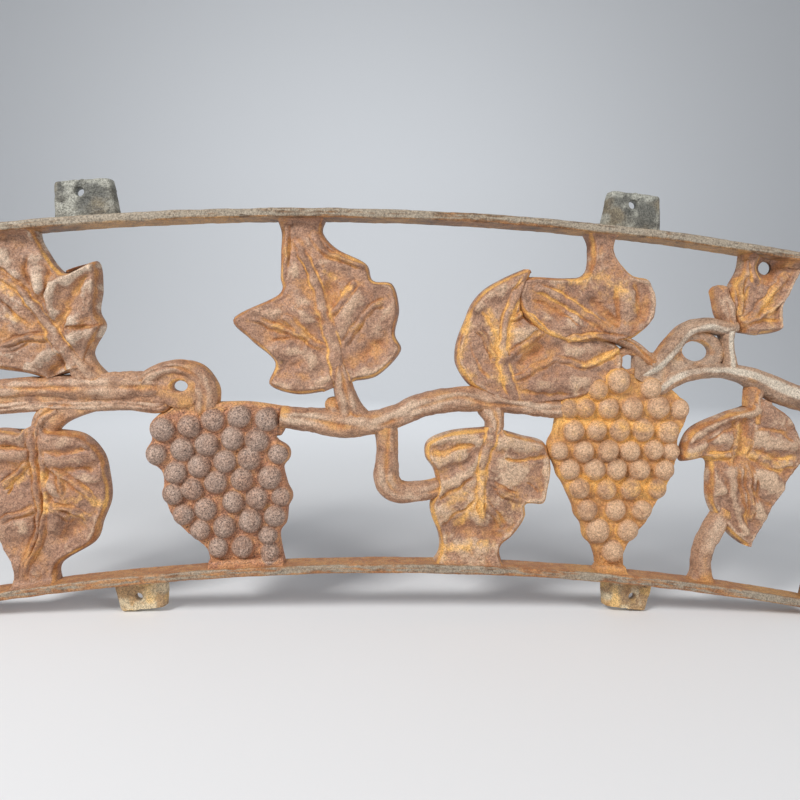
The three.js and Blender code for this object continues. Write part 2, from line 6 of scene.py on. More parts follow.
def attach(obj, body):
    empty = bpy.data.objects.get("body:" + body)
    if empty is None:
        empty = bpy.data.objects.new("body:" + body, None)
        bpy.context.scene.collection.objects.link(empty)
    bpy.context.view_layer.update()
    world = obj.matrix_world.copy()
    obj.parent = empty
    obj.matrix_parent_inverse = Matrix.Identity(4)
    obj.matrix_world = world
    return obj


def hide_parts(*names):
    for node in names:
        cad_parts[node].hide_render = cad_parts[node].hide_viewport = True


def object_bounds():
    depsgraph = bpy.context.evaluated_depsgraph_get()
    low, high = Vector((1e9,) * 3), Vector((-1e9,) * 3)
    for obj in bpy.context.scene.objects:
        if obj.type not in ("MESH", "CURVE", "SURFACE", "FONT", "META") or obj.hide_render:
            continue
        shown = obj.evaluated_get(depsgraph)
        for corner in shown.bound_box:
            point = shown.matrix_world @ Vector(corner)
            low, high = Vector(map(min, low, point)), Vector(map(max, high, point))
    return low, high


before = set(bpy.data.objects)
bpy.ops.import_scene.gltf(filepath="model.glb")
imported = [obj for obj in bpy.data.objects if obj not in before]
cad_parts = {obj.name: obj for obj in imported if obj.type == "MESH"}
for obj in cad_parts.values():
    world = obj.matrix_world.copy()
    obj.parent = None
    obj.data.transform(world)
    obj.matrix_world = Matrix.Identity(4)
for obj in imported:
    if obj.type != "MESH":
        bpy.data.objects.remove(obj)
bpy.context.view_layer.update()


# ------------------------------------------------------------------ Camera
# The panel was photographed from close by with a wide lens, at half its height and just left of
# its middle, with the camera turned a little right, tipped down and held slightly askew.
camera_at = (-0.0289, -0.5547, 0.1836)
turned_right, tipped, askew = 0.0585, -0.0727, 0.0222

camera_data = bpy.data.cameras.new("camera")
camera_data.sensor_width = 36.0
camera_data.lens = 28.8
camera_data.clip_start = 0.01
camera = bpy.data.objects.new("camera", camera_data)
camera.matrix_world = (
    Matrix.Translation(camera_at)
    @ Matrix.Rotation(-turned_right, 4, "Z")
    @ Matrix.Rotation(np.pi / 2 + tipped, 4, "X")
    @ Matrix.Rotation(askew, 4, "Z")
)
bpy.context.collection.objects.link(camera)
bpy.context.scene.camera = camera


# ------------------------------------------------------------------ Rails
# Two curved bars of cast iron run along the top and bottom of the panel. Their front arrises are
# worn round, their faces are grey-beige where hands and weather rub them, and brown behind.
# Sizes are in mm from here to the leaves, and in metres for the camera and the stage.
arch_radius = 2180.0
panel_length = 820.0
panel_height = 305.0
rail_face = 7.5
rail_depth = 22.0
arris = 1.8
upper_seat = panel_height - rail_face
mid_radius = arch_radius + panel_height / 2


def on_arch(sheet):
    """Lays points (s, h, d) of a flat sheet, in mm, on the arch: s turns the point by s over the
    middle radius about the arch's centre, h is added to the radius, d comes forward."""
    s, h, d = np.moveaxis(sheet, -1, 0)
    angle = s / mid_radius
    radius = arch_radius + h
    x = radius * np.sin(angle)
    z = radius * np.cos(angle) - arch_radius - rail_face / 2
    return np.stack([x, -d, z], axis=-1) / 1000.0


def lumps(s, h, size, seed):
    """An uneven field from -1 to 1: random values at the corners of squares of the given size,
    blended across each square by 3t^2 - 2t^3 in both directions."""
    table = np.random.default_rng(seed).uniform(-1.0, 1.0, (64, 64))
    x, y = np.asarray(s) / size, np.asarray(h) / size
    i, j = np.floor(x).astype(int), np.floor(y).astype(int)
    u, v = x - i, y - j
    u, v = u * u * (3 - 2 * u), v * v * (3 - 2 * v)
    i, j = i % 64, j % 64
    i2, j2 = (i + 1) % 64, (j + 1) % 64
    low = table[i, j] * (1 - u) + table[i2, j] * u
    high = table[i, j2] * (1 - u) + table[i2, j2] * u
    return low * (1 - v) + high * v


def smoothstep(low, high, value):
    """Rises from 0 at low to 1 at high along 3t^2 - 2t^3."""
    t = np.clip((value - low) / (high - low), 0.0, 1.0)
    return t * t * (3 - 2 * t)


back_step = 0.045                # from one skin's flat back to the next one's
back_levels = (back_step * order for order in range(99))
sharp_above = np.radians(60)     # edges bent by more than this are not shaded smooth


def skin(sheet, marks, ring=False):
    """Points, faces and marks (0 to 1) of a closed skin over a grid of loops in sheet mm. Rows
    run along it and columns once round it, and four neighbours make a face. The first and last
    loops are closed by one face each, or joined to one another where the skin is a ring. Each
    skin's flat back lies a hair's breadth in front of the one before it, so that no two are
    level where pieces overlap."""
    rows, columns = sheet.shape[:2]
    depth = np.maximum(sheet[..., 2:], next(back_levels))
    points = on_arch(np.concatenate([sheet[..., :2], depth], axis=-1)).reshape(-1, 3)
    index = np.arange(rows * columns).reshape(rows, columns)
    ends = [] if ring else [index[0, ::-1].tolist(), index[-1].tolist()]
    if ring:
        index = np.vstack([index, index[:1]])
    beside = np.roll(index, -1, axis=1)
    quads = np.stack([index[:-1], beside[:-1], beside[1:], index[1:]], axis=-1).reshape(-1, 4)
    a, b, c, d = (points[quads[:, k]] for k in range(4))
    volume = np.einsum("ij,ij->", a, np.cross(b, c)) + np.einsum("ij,ij->", a, np.cross(c, d))
    if volume < 0:
        quads = quads[:, ::-1]
        ends = [loop[::-1] for loop in ends]
    marks = {mark: np.broadcast_to(np.clip(field, 0, 1), (rows, columns)).ravel()
             for mark, field in marks.items()}
    return points, quads.tolist() + ends, marks


def casting(node, skins, material):
    """One iron piece from one or more closed skins, in the place of the node it is named after."""
    points, faces, start = [], [], 0
    for part, part_faces, marks in skins:
        points.append(part)
        faces += [[corner + start for corner in face] for face in part_faces]
        start += len(part)
    mesh = bpy.data.meshes.new(node + "_casting")
    mesh.from_pydata(np.concatenate(points).tolist(), [], faces)
    mesh.shade_smooth()
    mesh.set_sharp_from_angle(angle=sharp_above)
    for mark in ("wear_and_highlight", "rusty", "bloom"):
        layer = mesh.attributes.new(mark, "FLOAT", "POINT")
        field = [marks.get(mark, np.zeros(len(part))) for part, part_faces, marks in skins]
        layer.data.foreach_set("value", np.concatenate(field).astype(np.float32))
    mesh.materials.append(material)
    piece = bpy.data.objects.new(node + "_casting", mesh)
    bpy.context.collection.objects.link(piece)
    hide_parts(node)
    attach(piece, "root")


def aged_iron(name, body, dark, wear_and_highlight, rust, bloom, speckle=0.46, flecks=0.30):
    """Rusted iron: a blotchy body colour, turned paler where the mark of wear and highlight is high
    (rubbed wear, and on the leaves' raised relief a painted highlight as well), orange where
    'rusty' is high and yellow where 'bloom' is high, each mark broken up into patches, and all of
    it speckled light and dark as finely as sand. The same noises give the roughness and stand up
    as bump."""
    material = bpy.data.materials.new(name)
    material.use_nodes = True
    nodes, links = material.node_tree.nodes, material.node_tree.links
    shader = nodes["Principled BSDF"]

    def feed(socket, value):
        if isinstance(value, bpy.types.NodeSocket):
            links.new(value, socket)
        else:
            socket.default_value = (*value, 1.0) if socket.type == "RGBA" else value

    def node(kind, output, inputs, **settings):
        made = nodes.new("ShaderNode" + kind)
        for setting, value in settings.items():
            setattr(made, setting, value)
        for socket, value in inputs.items():
            feed(made.inputs[socket], value)
        return made.outputs[output]

    place = node("TexCoord", "Object", {})

    def noise(scale, detail, rough, offset=0.0):
        moved = node("Mapping", "Vector", {
            "Vector": place, "Location": (offset, offset * 0.7, offset * 1.3)})
        return node("TexNoise", "Fac", {
            "Vector": moved, "Scale": scale, "Detail": detail, "Roughness": rough})

    def maths(operation, *values):
        return node("Math", 0, dict(enumerate(values)), operation=operation)

    def ramp(value, low, high):
        return node("MapRange", "Result", {"Value": value, "From Min": low, "From Max": high},
                    interpolation_type="SMOOTHSTEP")

    def mix(share, first, second):
        """Two colours blended: the node's inputs 6 and 7 and its output 2 hold colours."""
        return node("Mix", 2, {0: share, 6: first, 7: second}, data_type="RGBA")

    blotch = noise(30.0, 3.0, 0.5)
    patch = noise(105.0, 3.0, 0.55, 3.1)
    mottle = noise(300.0, 2.0, 0.5, 5.3)
    grain = noise(620.0, 2.0, 0.6, 7.7)
    speck = noise(1050.0, 1.0, 0.5, 1.9)
    fleck = noise(470.0, 2.0, 0.7, 9.2)

    def share_of(attribute, patchiness, mottling):
        """A mark from 0 to 1, roughened by the patches and the mottling."""
        mark = node("Attribute", "Fac", {}, attribute_name=attribute)
        uneven = maths("MULTIPLY_ADD", patch, patchiness, -0.5 * (patchiness + mottling))
        uneven = maths("MULTIPLY_ADD", mottle, mottling, uneven)
        return ramp(maths("ADD", mark, uneven), 0.12, 0.88)

    colour = mix(ramp(blotch, 0.40, 0.62), body[0], body[1])
    colour = mix(maths("MULTIPLY", ramp(patch, 0.50, 0.32), 0.45), colour, dark)
    orange = mix(ramp(patch, 0.42, 0.60), rust[0], rust[1])
    rusty = share_of("rusty", 0.85, 0.12)
    colour = mix(maths("MULTIPLY", rusty, 0.92), colour, orange)
    colour = mix(maths("MULTIPLY", share_of("wear_and_highlight", 0.8, 0.18), 0.90), colour, wear_and_highlight)
    colour = mix(maths("MULTIPLY", share_of("bloom", 0.9, 0.3), 0.85), colour, bloom)
    colour = mix(maths("MULTIPLY", ramp(fleck, 0.60, 0.74), flecks), colour, wear_and_highlight)
    colour = mix(maths("MULTIPLY", ramp(fleck, 0.40, 0.27), flecks), colour, dark)
    fine = maths("MULTIPLY_ADD", ramp(speck, 0.34, 0.66), speckle,
                 maths("MULTIPLY_ADD", ramp(grain, 0.32, 0.68), speckle, 1.0 - speckle))
    even = maths("MULTIPLY_ADD", rusty, 0.25, 0.05)
    fine = maths("ADD", maths("MULTIPLY", fine, maths("SUBTRACT", 1.0, even)),
                 maths("MULTIPLY", even, 1.0 - speckle / 2))
    height = maths("MULTIPLY_ADD", grain, 0.5, maths("MULTIPLY", patch, 0.6))
    height = maths("MULTIPLY_ADD", mottle, 0.8, height)
    feed(shader.inputs["Base Color"],
         node("VectorMath", 0, {0: colour, "Scale": fine}, operation="SCALE"))
    feed(shader.inputs["Roughness"], maths("MULTIPLY_ADD", grain, 0.3, 0.38))
    feed(shader.inputs["Normal"],
         node("Bump", "Normal", {"Strength": 0.8, "Distance": 0.0011, "Height": height}))
    shader.inputs["Metallic"].default_value = 0.0
    shader.inputs["Specular IOR Level"].default_value = 0.4
    return material


rail_iron = aged_iron(
    "rail_iron",
    body=((0.20, 0.108, 0.048), (0.165, 0.09, 0.04)),
    dark=(0.08, 0.055, 0.04),
    wear_and_highlight=(0.335, 0.285, 0.22),
    rust=((0.41, 0.175, 0.07), (0.51, 0.25, 0.10)),
    bloom=(0.54, 0.29, 0.10),
    speckle=0.50,
    flecks=0.40,
)


def bar_section(low, high):
    """Once round a bar's section from low to high: flat back, then up one side, over two front
    arrises that are quarter circles, and down the other side."""
    turn = np.linspace(0.0, np.pi / 2, 6)
    side = np.linspace(0.0, rail_depth - arris, 9)[:-1]
    front = np.linspace(0.0, 1.0, 5)[1:-1]
    fall = arris - arris * np.cos(turn)
    rise = rail_depth - arris + arris * np.sin(turn)
    across = [side * 0 + high, high - fall, high - arris - (high - low - 2 * arris) * front,
              low + fall[::-1], side * 0 + low, low + (high - low) * front]
    depth = [side, rise, front * 0 + rail_depth, rise[::-1], side[::-1], front * 0]
    return np.concatenate(across), np.concatenate(depth)


def rail(name, low, seed, wear_and_highlight, rusty, side_rust):
    """The bar's section carried along the arch, pushed in and out by a fraction of a millimetre
    as sand-cast bars are. The two numbers after the seed are the face's paleness and its rust,
    and side_rust is the rust of the sides."""
    across, depth = bar_section(low, low + rail_face)
    s = np.linspace(-panel_length / 2, panel_length / 2, 700)[:, None]
    waver = 0.35 * lumps(s, across * 3 + depth, 17.0, seed)
    waver = waver + 0.18 * lumps(s, across * 5 + depth * 2, 4.0, seed + 1)
    h = across + waver * np.sign(across - low - rail_face / 2)
    d = np.where(depth > 0, depth + 0.8 * waver, 0.0)
    face = smoothstep(rail_depth - 3.0, rail_depth - 0.6, depth)
    streaks = lumps(s / 9, across * 3, 2.0, seed + 2)
    streaks = streaks + 0.6 * lumps(s / 3, across * 2, 1.5, seed + 4)
    drift = lumps(s, depth * 0, 45.0, seed + 3)
    # The face's rounded lower arris is less pale and more orange-brown: rust, and painted shade
    # where the arris turns down.
    lower_arris_rust_and_shade = face * smoothstep(low + 2.2, low + 0.4, across)
    marks = {
        "wear_and_highlight": face * (wear_and_highlight + 0.5 * streaks + 0.3 * drift - 0.5 * lower_arris_rust_and_shade),
        "rusty": side_rust * (1 - face) + 0.45 * lower_arris_rust_and_shade + rusty * face
                 - 0.25 * streaks * face - 0.25 * drift,
        "bloom": 0.5 * (1 - face) * (0.5 + drift) + 0.5 * lower_arris_rust_and_shade * (drift + 0.2),
    }
    sheet = np.stack(np.broadcast_arrays(s, h, d), axis=-1)
    casting(name, [skin(sheet, marks)], rail_iron)


rail("top_rail", upper_seat, 11, wear_and_highlight=0.70, rusty=0.05, side_rust=0.30)
rail("bottom_rail", 0.0, 21, wear_and_highlight=0.64, rusty=0.42, side_rust=0.95)


# ------------------------------------------------------------------ End bars
# A bar of the rails' own section closes each end of the panel, square to the arch. It is cast
# with the rails, and a little shallower, so that its face lies just behind theirs.
def end_bar(name, low, seed):
    """The same section laid along s and carried up from rail to rail."""
    across, depth = bar_section(low, low + rail_face)
    h = np.linspace(rail_face - 0.5, upper_seat + 0.5, 260)[:, None]
    waver = 0.3 * lumps(h, across * 3 + depth, 17.0, seed)
    s = across + waver * np.sign(across - low - rail_face / 2)
    d = np.where(depth > 0, depth + 0.8 * waver - 0.25, 0.0)
    face = smoothstep(rail_depth - 2.6, rail_depth - 0.6, depth)
    chips = lumps(h, depth, 9.0, seed + 2)
    marks = {"wear_and_highlight": face * (0.75 + 0.3 * chips),
             "rusty": 0.42 * (1 - face) + 0.25 * (chips - 0.2)}
    sheet = np.stack(np.broadcast_arrays(s, h, d), axis=-1)
    casting(name, [skin(sheet, marks)], rail_iron)


end_bar("left_end_bar", -panel_length / 2, 31)
end_bar("right_end_bar", panel_length / 2 - rail_face, 41)


# ------------------------------------------------------------------ Lugs
# Four tabs stand out from the rails' backs, each with a plain screw hole. They are cast with the
# rails, with leaning sides and rounded corners. The upper two are weathered grey-black and the
# lower two are tan with yellow rust.
lug_width = 50.0
lug_taper = 4.0
lug_thickness = 8.0
lug_hole = 7.0

upper_lug_iron = aged_iron(
    "upper_lug_iron",
    body=((0.115, 0.115, 0.10), (0.17, 0.165, 0.14)),
    dark=(0.03, 0.03, 0.027),
    wear_and_highlight=(0.35, 0.35, 0.305),
    rust=((0.17, 0.135, 0.09), (0.25, 0.21, 0.14)),
    bloom=(0.42, 0.34, 0.22),
    speckle=0.60,
)
lower_lug_iron = aged_iron(
    "lower_lug_iron",
    body=((0.47, 0.30, 0.15), (0.36, 0.235, 0.13)),
    dark=(0.09, 0.06, 0.04),
    wear_and_highlight=(0.66, 0.55, 0.37),
    rust=((0.50, 0.24, 0.08), (0.62, 0.36, 0.12)),
    bloom=(0.80, 0.52, 0.20),
    speckle=0.50,
)


def lug(name, station, shift, side, seed):
    """A polar grid about the hole: rings run from the hole's back edge, up through it, out over
    the front face, down the sides to the outline and back in behind. The outline is a tapered
    rectangle, found along each ray from the hole. side is 1 above the panel and -1 below it."""
    seat, reach, hole_offset, material = (
        (panel_height, 32.0, 22.0, upper_lug_iron) if side > 0 else
        (0.0, 27.0, 15.0, lower_lug_iron))
    angle = np.linspace(0.0, 2 * np.pi, 160, endpoint=False)
    dx, dy = np.cos(angle), np.sin(angle)
    root, half, lean_in = -3.0, lug_width / 2, lug_taper / reach
    # distance to each of the four edges along each ray; a soft minimum rounds the free corners
    far, least, sharp = 1e6, 1e-6, 14.0

    def distance(length, toward):
        return np.where(toward > least, length / np.maximum(toward, least), far)

    top = distance(reach - hole_offset, dy)
    bottom = distance(hole_offset - root, -dy)
    right = distance(half - shift - lean_in * hole_offset, dx + lean_in * dy)
    left = distance(half + shift - lean_in * hole_offset, -dx + lean_in * dy)
    edge = (top ** -sharp + right ** -sharp + left ** -sharp) ** (-1 / sharp)
    edge = np.minimum(edge, bottom) + 0.5 * lumps(angle * 4, angle * 0, 1.0, seed)
    hole = lug_hole / 2
    # each ring: share of the way from hole to outline, millimetres added, share of the thickness
    rings = [(0, 0.02, 0.0), (0, -0.15, 0.35), (0, -0.1, 0.75), (0, 0.25, 0.96), (0, 0.8, 1.0)]
    rings += [(share, 0.8, 1.0) for share in np.linspace(0.06, 0.8, 16)]
    rings += [(share, 0.0, depth) for share, depth in (
        (0.86, 0.995), (0.90, 0.97), (0.93, 0.90), (0.955, 0.75), (0.975, 0.5), (0.99, 0.25),
        (1.0, 0.0), (0.97, 0.0), (0.5, 0.0))]
    share, extra, rise = (np.array(column)[:, None] for column in zip(*rings))
    out = hole + extra + share * (edge - hole)
    s = station + shift + dx * out
    h = seat + side * (hole_offset + dy * out)
    rough = 0.35 * lumps(s, h, 5.0, seed + 3) + 0.22 * lumps(s, h, 1.9, seed + 4)
    d = rise * (lug_thickness + np.where(rise > 0.6, rough, 0.0))
    spots = lumps(s, h, 9.0, seed + 5) + 0.4 * lumps(s, h, 3.5, seed + 8)
    # the upper lugs are paler towards their tips and on their left sides
    tip = smoothstep(reach - 7.0, reach - 2.0, side * (h - seat))
    left_side = smoothstep(station + 18, station - 22, s)
    marks = {"wear_and_highlight": 0.30 + 0.8 * spots + (0.5 * tip + 0.30 * left_side - 0.28) * (side > 0),
             "rusty": 0.10 + 0.7 * lumps(s, h, 11.0, seed + 6),
             "bloom": (0.10 + 0.9 * lumps(s, h, 9.0, seed + 7)) * (side < 0)}
    casting(name, [skin(np.stack([s, h, d], axis=-1), marks, ring=True)], material)


lug("top_left_lug", -242.0, -3.0, 1, 51)
lug("top_right_lug", 187.0, -1.0, 1, 61)
lug("bottom_left_lug", -232.0, -3.0, -1, 71)
lug("bottom_right_lug", 227.0, 6.0, -1, 81)


# ------------------------------------------------------------------ Stems
# The vine's stems and leaf stalks are half-round, flat behind, with a channel between two long
# ridges. The ridges are rubbed cream-grey, and the channels and undersides are orange.
stem_iron = aged_iron(
    "stem_iron",
    body=((0.36, 0.195, 0.12), (0.43, 0.25, 0.155)),
    dark=(0.14, 0.07, 0.04),
    wear_and_highlight=(0.58, 0.42, 0.30),
    rust=((0.50, 0.21, 0.07), (0.64, 0.33, 0.12)),
    bloom=(0.74, 0.40, 0.12),
)
bleached_stem_iron = aged_iron(
    "bleached_stem_iron",
    body=((0.37, 0.23, 0.15), (0.44, 0.30, 0.21)),
    dark=(0.14, 0.08, 0.05),
    wear_and_highlight=(0.60, 0.52, 0.42),
    rust=((0.48, 0.21, 0.08), (0.60, 0.32, 0.13)),
    bloom=(0.74, 0.46, 0.18),
)

stem_step = 0.8        # between the rows of a stem's grid
stem_sides = 44        # points over its rounded front
stem_fullness = 0.62   # power of the sine in its section: the lower, the squarer
groove_depth = 2.0
groove_width = 0.2     # as a share of the stem's half width
bark_height = 0.6
bleached_above = 0.3   # how pale a stem has to be for the bleached iron

# Each route lists s, h, width and height along the stem's middle, from root to tip.
routes = {
    "center_vine": [
        (-99, 133, 18, 15), (-74, 130, 21, 15), (-46, 126, 24, 16), (-20, 127, 20, 16),
        (0, 133, 20, 15), (20, 142, 21, 15), (44, 148, 21, 15), (66, 150, 22, 15),
        (100, 147, 15, 14), (136, 146, 17, 13), (148, 147, 15, 12), (158, 149, 11, 10)],
    "left_vine": [
        (-403, 177, 18, 15), (-360, 175, 17, 15), (-300, 172, 17, 15), (-262, 168, 22, 16),
        (-230, 166, 25, 15), (-212, 165, 24, 14), (-192, 162, 20, 12)],
    "lower_left_vine": [
        (-403, 159, 12, 12), (-360, 160, 12, 12), (-300, 157, 12, 12), (-262, 153, 12, 12),
        (-230, 151, 11, 12), (-203, 147, 12, 11), (-190, 150, 11, 9)],
    "tendril_loop": [
        (-217, 163, 14, 13), (-204, 174, 13, 15), (-183, 179, 13, 16), (-167, 172, 17, 15),
        (-161, 158, 22, 14), (-163, 142, 20, 12), (-165, 130, 14, 9)],
    "hooked_branch": [
        (-9, 126, 22, 14), (-7, 108, 19, 14), (-7, 93, 21, 14), (-7, 78, 23, 14),
        (2, 68, 21, 14), (18, 67, 18, 14), (34, 70, 17, 13), (46, 76, 14, 13)],
    "right_lower_vine": [
        (222, 164, 10, 8), (231, 173, 13, 12), (240, 182, 15, 14), (252, 189, 15, 15),
        (266, 193, 14, 15), (284, 196, 13, 15), (304, 195, 16, 15), (326, 189, 22, 15),
        (352, 184, 22, 15), (403, 178, 20, 15)],
    "right_upper_vine": [
        (205, 177, 9, 8), (214, 185, 12, 12), (225, 195, 15, 14), (236, 212, 15, 15),
        (246, 226, 14, 15), (262, 233, 14, 15), (278, 233, 14, 15), (289, 237, 11, 14)],
    "vine_link": [(281, 234, 12, 14), (283, 218, 11, 14), (287, 206, 12, 14), (290, 194, 18, 14)],
    "pruned_stub": [(283, 233, 12, 14), (276, 249, 16, 14.5), (267, 269, 13, 12)],
    "right_stem": [
        (310, 73, 19, 12), (303, 57, 20, 13), (297, 40, 19, 13), (296, 26, 18, 13),
        (298, 14, 20, 13), (299, 5, 29, 14)],
    "upper_left_stalk": [
        (-251, 166, 32, 15), (-259, 180, 22, 15), (-267, 196, 14, 15), (-273, 208, 9, 14)],
    "lower_left_stalk": [
        (-284, 153, 14, 12), (-296, 147, 14, 13), (-302, 136, 11, 14), (-304, 120, 8, 14)],
    "top_center_stalk": [
        (-37, 128, 34, 14), (-41, 142, 22, 16), (-45, 156, 18, 17.5), (-47, 170, 14, 17.5),
        (-49, 182, 9, 15)],
    "lower_center_stalk": [
        (81, 152, 30, 12), (84, 142, 24, 14), (87, 132, 17, 14.5), (87, 124, 15, 14.5),
        (84, 112, 9, 14)],
    "upper_right_stalk": [
        (184, 213, 9, 15), (200, 208, 10, 14), (212, 200, 11, 14), (222, 192, 13, 13)],
    "lower_right_stalk": [
        (316, 190, 18, 14), (315, 178, 15, 14), (316, 168, 13, 15), (319, 154, 8, 16)],
    "bud_stub": [(-44, 136, 22, 11), (-52, 141, 18, 12), (-60, 147, 9, 10)],
}
# how pale a stem's crest is, and how far it leans to the left of its route; the palest are
# smooth and bleached
paler_stems = {"right_lower_vine": (0.50, 0.15), "right_upper_vine": (0.50, -0.30),
               "vine_link": (0.55, 0.0), "center_vine": (0.20, 0.15)}
# the lengths over which a stem's root and tip are rounded off
rounded = {"pruned_stub": (0.3, 5.0), "bud_stub": (0.3, 4.0), "right_upper_vine": (9.0, 3.0),
           "right_lower_vine": (9.0, 0.3), "left_vine": (0.3, 12.0), "lower_left_vine": (0.3, 9.0),
           "tendril_loop": (0.3, 14.0), "center_vine": (0.3, 12.0), "hooked_branch": (0.3, 9.0),
           "top_center_stalk": (0.3, 9.0), "lower_center_stalk": (12.0, 0.3),
           "lower_right_stalk": (9.0, 0.3)}

# Webs of iron fill the corners between stems: the edge inside the stem, then the free edge.
webs = {
    "lower_left_vine": (
        [(-403, 174), (-330, 171), (-280, 168), (-240, 165), (-191, 160)],
        [(-403, 160), (-330, 158), (-280, 155), (-240, 151), (-191, 148)]),
    "upper_left_stalk": (
        [(-258, 212), (-263, 204), (-263, 196), (-258, 186), (-252, 172)],
        [(-246, 204), (-249, 199), (-250, 194), (-247, 186), (-239, 176)]),
    "lower_left_stalk": (
        [(-300, 136), (-292, 148), (-277, 153), (-255, 153), (-228, 153)],
        [(-289, 128), (-284, 136), (-273, 142), (-251, 147), (-226, 147)]),
    "right_upper_vine": (
        [(205, 180), (216, 176), (228, 178), (240, 184), (252, 193)],
        [(203, 201), (213, 203), (226, 204), (238, 203), (250, 199)]),
}
web_depth = 10.5


def through(listed, t):
    """A smooth curve through the listed points at t from 0 to their count less one: the uniform
    Catmull-Rom cubic, whose slope at a point is half the step between its two neighbours."""
    listed = np.asarray(listed, dtype=float)
    i = np.clip(np.floor(t).astype(int), 0, len(listed) - 2)
    u = (t - i)[..., None]
    before, start = listed[np.maximum(i - 1, 0)], listed[i]
    end, after = listed[i + 1], listed[np.minimum(i + 2, len(listed) - 1)]
    leave, arrive = (end - before) / 2, (after - start) / 2
    cubic = (2 * start - 2 * end + leave + arrive) * u ** 3
    return cubic + (3 * end - 3 * start - 2 * leave - arrive) * u ** 2 + leave * u + start


def aside_of(path):
    """Unit vectors square to a path of points: its steps, turned a quarter to the left."""
    along = np.gradient(path, axis=0)
    along /= np.linalg.norm(along, axis=1, keepdims=True) + 1e-9
    return np.stack([-along[:, 1], along[:, 0]], axis=-1)


def run_along(path):
    """Distance along a path of points, from its first."""
    return np.concatenate([[0], np.cumsum(np.hypot(*np.diff(path, axis=0).T))])


def backed(front, back, marks, rust=0.0):
    """A skin whose rows cross a front of points (s, h, d) and come back over a flat back of
    points (s, h), which has no mark but some rust."""
    bare = np.zeros(back.shape[:2])
    marks = {mark: np.hstack([field, bare + (rust if mark == "rusty" else 0.0)])
             for mark, field in marks.items()}
    back = np.concatenate([back, bare[..., None]], axis=-1)
    return skin(np.concatenate([front, back], axis=1), marks)


def stem(name, seed):
    """A half-round section carried along the route: depth is the height times a flattened sine
    of the angle, less a channel in the middle, with long ridges and lumps of the bark added.
    Each end shrinks to nothing along a quarter circle."""
    listed = np.array(routes[name], dtype=float)
    t = np.linspace(0, len(listed) - 1, int(run_along(listed[:, :2])[-1] / stem_step) + 10)
    path = through(listed, t)
    aside = aside_of(path[:, :2])[:, None]
    run = run_along(path[:, :2])[:, None]
    turn = np.linspace(0, np.pi, stem_sides)[None, :]
    across, up = np.cos(turn), np.sin(turn)
    root, tip = rounded.get(name, (0.3, 0.3))
    from_end = np.minimum((run + 0.3) / root, (run[-1] - run + 0.3) / tip)
    close = np.sqrt(1 - (1 - np.clip(from_end, 0, 1)) ** 2)
    width, height = path[:, 2:3] * close, path[:, 3:4] * close
    bark = lumps(run / 9.0, turn * 2.6, 1.0, seed)
    bark = bark + 0.6 * lumps(run / 4.0, turn * 6.0, 1.0, seed + 1)
    middle = 0.22 * lumps(run / 26.0, 0 * run, 1.0, seed + 2)
    groove = np.exp(-((across + middle) / groove_width) ** 2)
    groove = groove * (0.6 + 0.4 * lumps(run / 18.0, 0 * run, 1.0, seed + 3))
    pale, lean = paler_stems.get(name, (0.0, 0.0))
    groove = groove * (0.25 if pale > bleached_above or name == "right_stem" else 1.0)
    depth = height * up ** stem_fullness - groove_depth * groove * np.minimum(1, height / 12)
    depth = np.maximum(depth + bark_height * bark * up * close, 0)
    offset = width / 2 * across * (1 + 0.05 * bark)
    front = np.concatenate(
        [path[:, None, :2] + aside * offset[..., None], depth[..., None]], axis=-1)
    back = path[:, None, :2] + aside * (width / 2 * np.linspace(-1, 1, 7)[1:-1])[..., None]
    low = smoothstep(0.72, 0.15, up)
    ridge = np.clip(0.35 * bark + smoothstep(0.55, 1.0, up) - 1.0 * groove, 0, 1)
    crest = pale * np.exp(-((across - lean + 0.15 * middle) / 0.42) ** 4)
    drift = lumps(run, turn * 7, 22.0, seed + 4)
    stain = lumps(run / 16, turn * 1.1, 1.0, seed + 5)
    wear_and_highlight = ridge * (0.50 + 0.25 * drift) * (pale < bleached_above) + crest * (1.6 + drift)
    joint = smoothstep(13.0, 2.0, np.minimum(run, run[-1] - run)) * (1 - pale)
    marks = {
        "wear_and_highlight": wear_and_highlight - 0.2 * stain - 0.5 * joint,
        "rusty": 0.45 * low + 0.7 * groove + 0.55 * stain + 0.35 * joint - 0.5 * crest,
        "bloom": 0.45 * groove * (0.5 + drift) + 0.4 * stain * low
                 + 0.4 * joint * (0.5 + drift) - 0.5 * crest,
    }
    return backed(front, back, marks, rust=0.3)


def web(name, seed):
    """A strip between two curves: across it the depth stays level, then rolls down at the free
    edge as a quarter circle; its back is flat."""
    inner, outer = (through(line, np.linspace(0, len(line) - 1, 60)) for line in webs[name])
    share = np.array([0, 0.2, 0.4, 0.6, 0.75, 0.86, 0.93, 0.97, 0.99, 1.0, 0.9, 0.5, 0.1])
    rise = np.array([1, 1, 1, 1, 0.98, 0.92, 0.8, 0.62, 0.4, 0, 0, 0, 0])
    plan = inner[:, None, :] + (outer - inner)[:, None, :] * share[None, :, None]
    depth = rise * (web_depth + 0.5 * lumps(plan[..., 0], plan[..., 1], 5.0, seed))
    sheet = np.concatenate([plan, depth[..., None]], axis=-1)
    marks = {"rusty": 0.35 + 0.3 * lumps(plan[..., 0], plan[..., 1], 8.0, seed + 1),
             "wear_and_highlight": 0.2 * rise}
    return skin(sheet, marks)


# Three rounded openings are closed in by webs: the tendril's small eye, the window between the
# right vines, and the hole where the broad leaves meet their stalk. Each lists its middle, the
# opening's and the web's half sizes, and its height.
eyes = {
    "tendril_loop": ((-181.5, 163.0), (6.6, 4.6), (20.0, 19.0), 12.6),
    "vine_link": ((256.2, 209.4), (12.8, 8.8), (26.0, 18.5), 10.0),
    "upper_right_stalk": ((199.5, 193.0), (7.2, 6.4), (15.0, 13.0), 9.0),
}


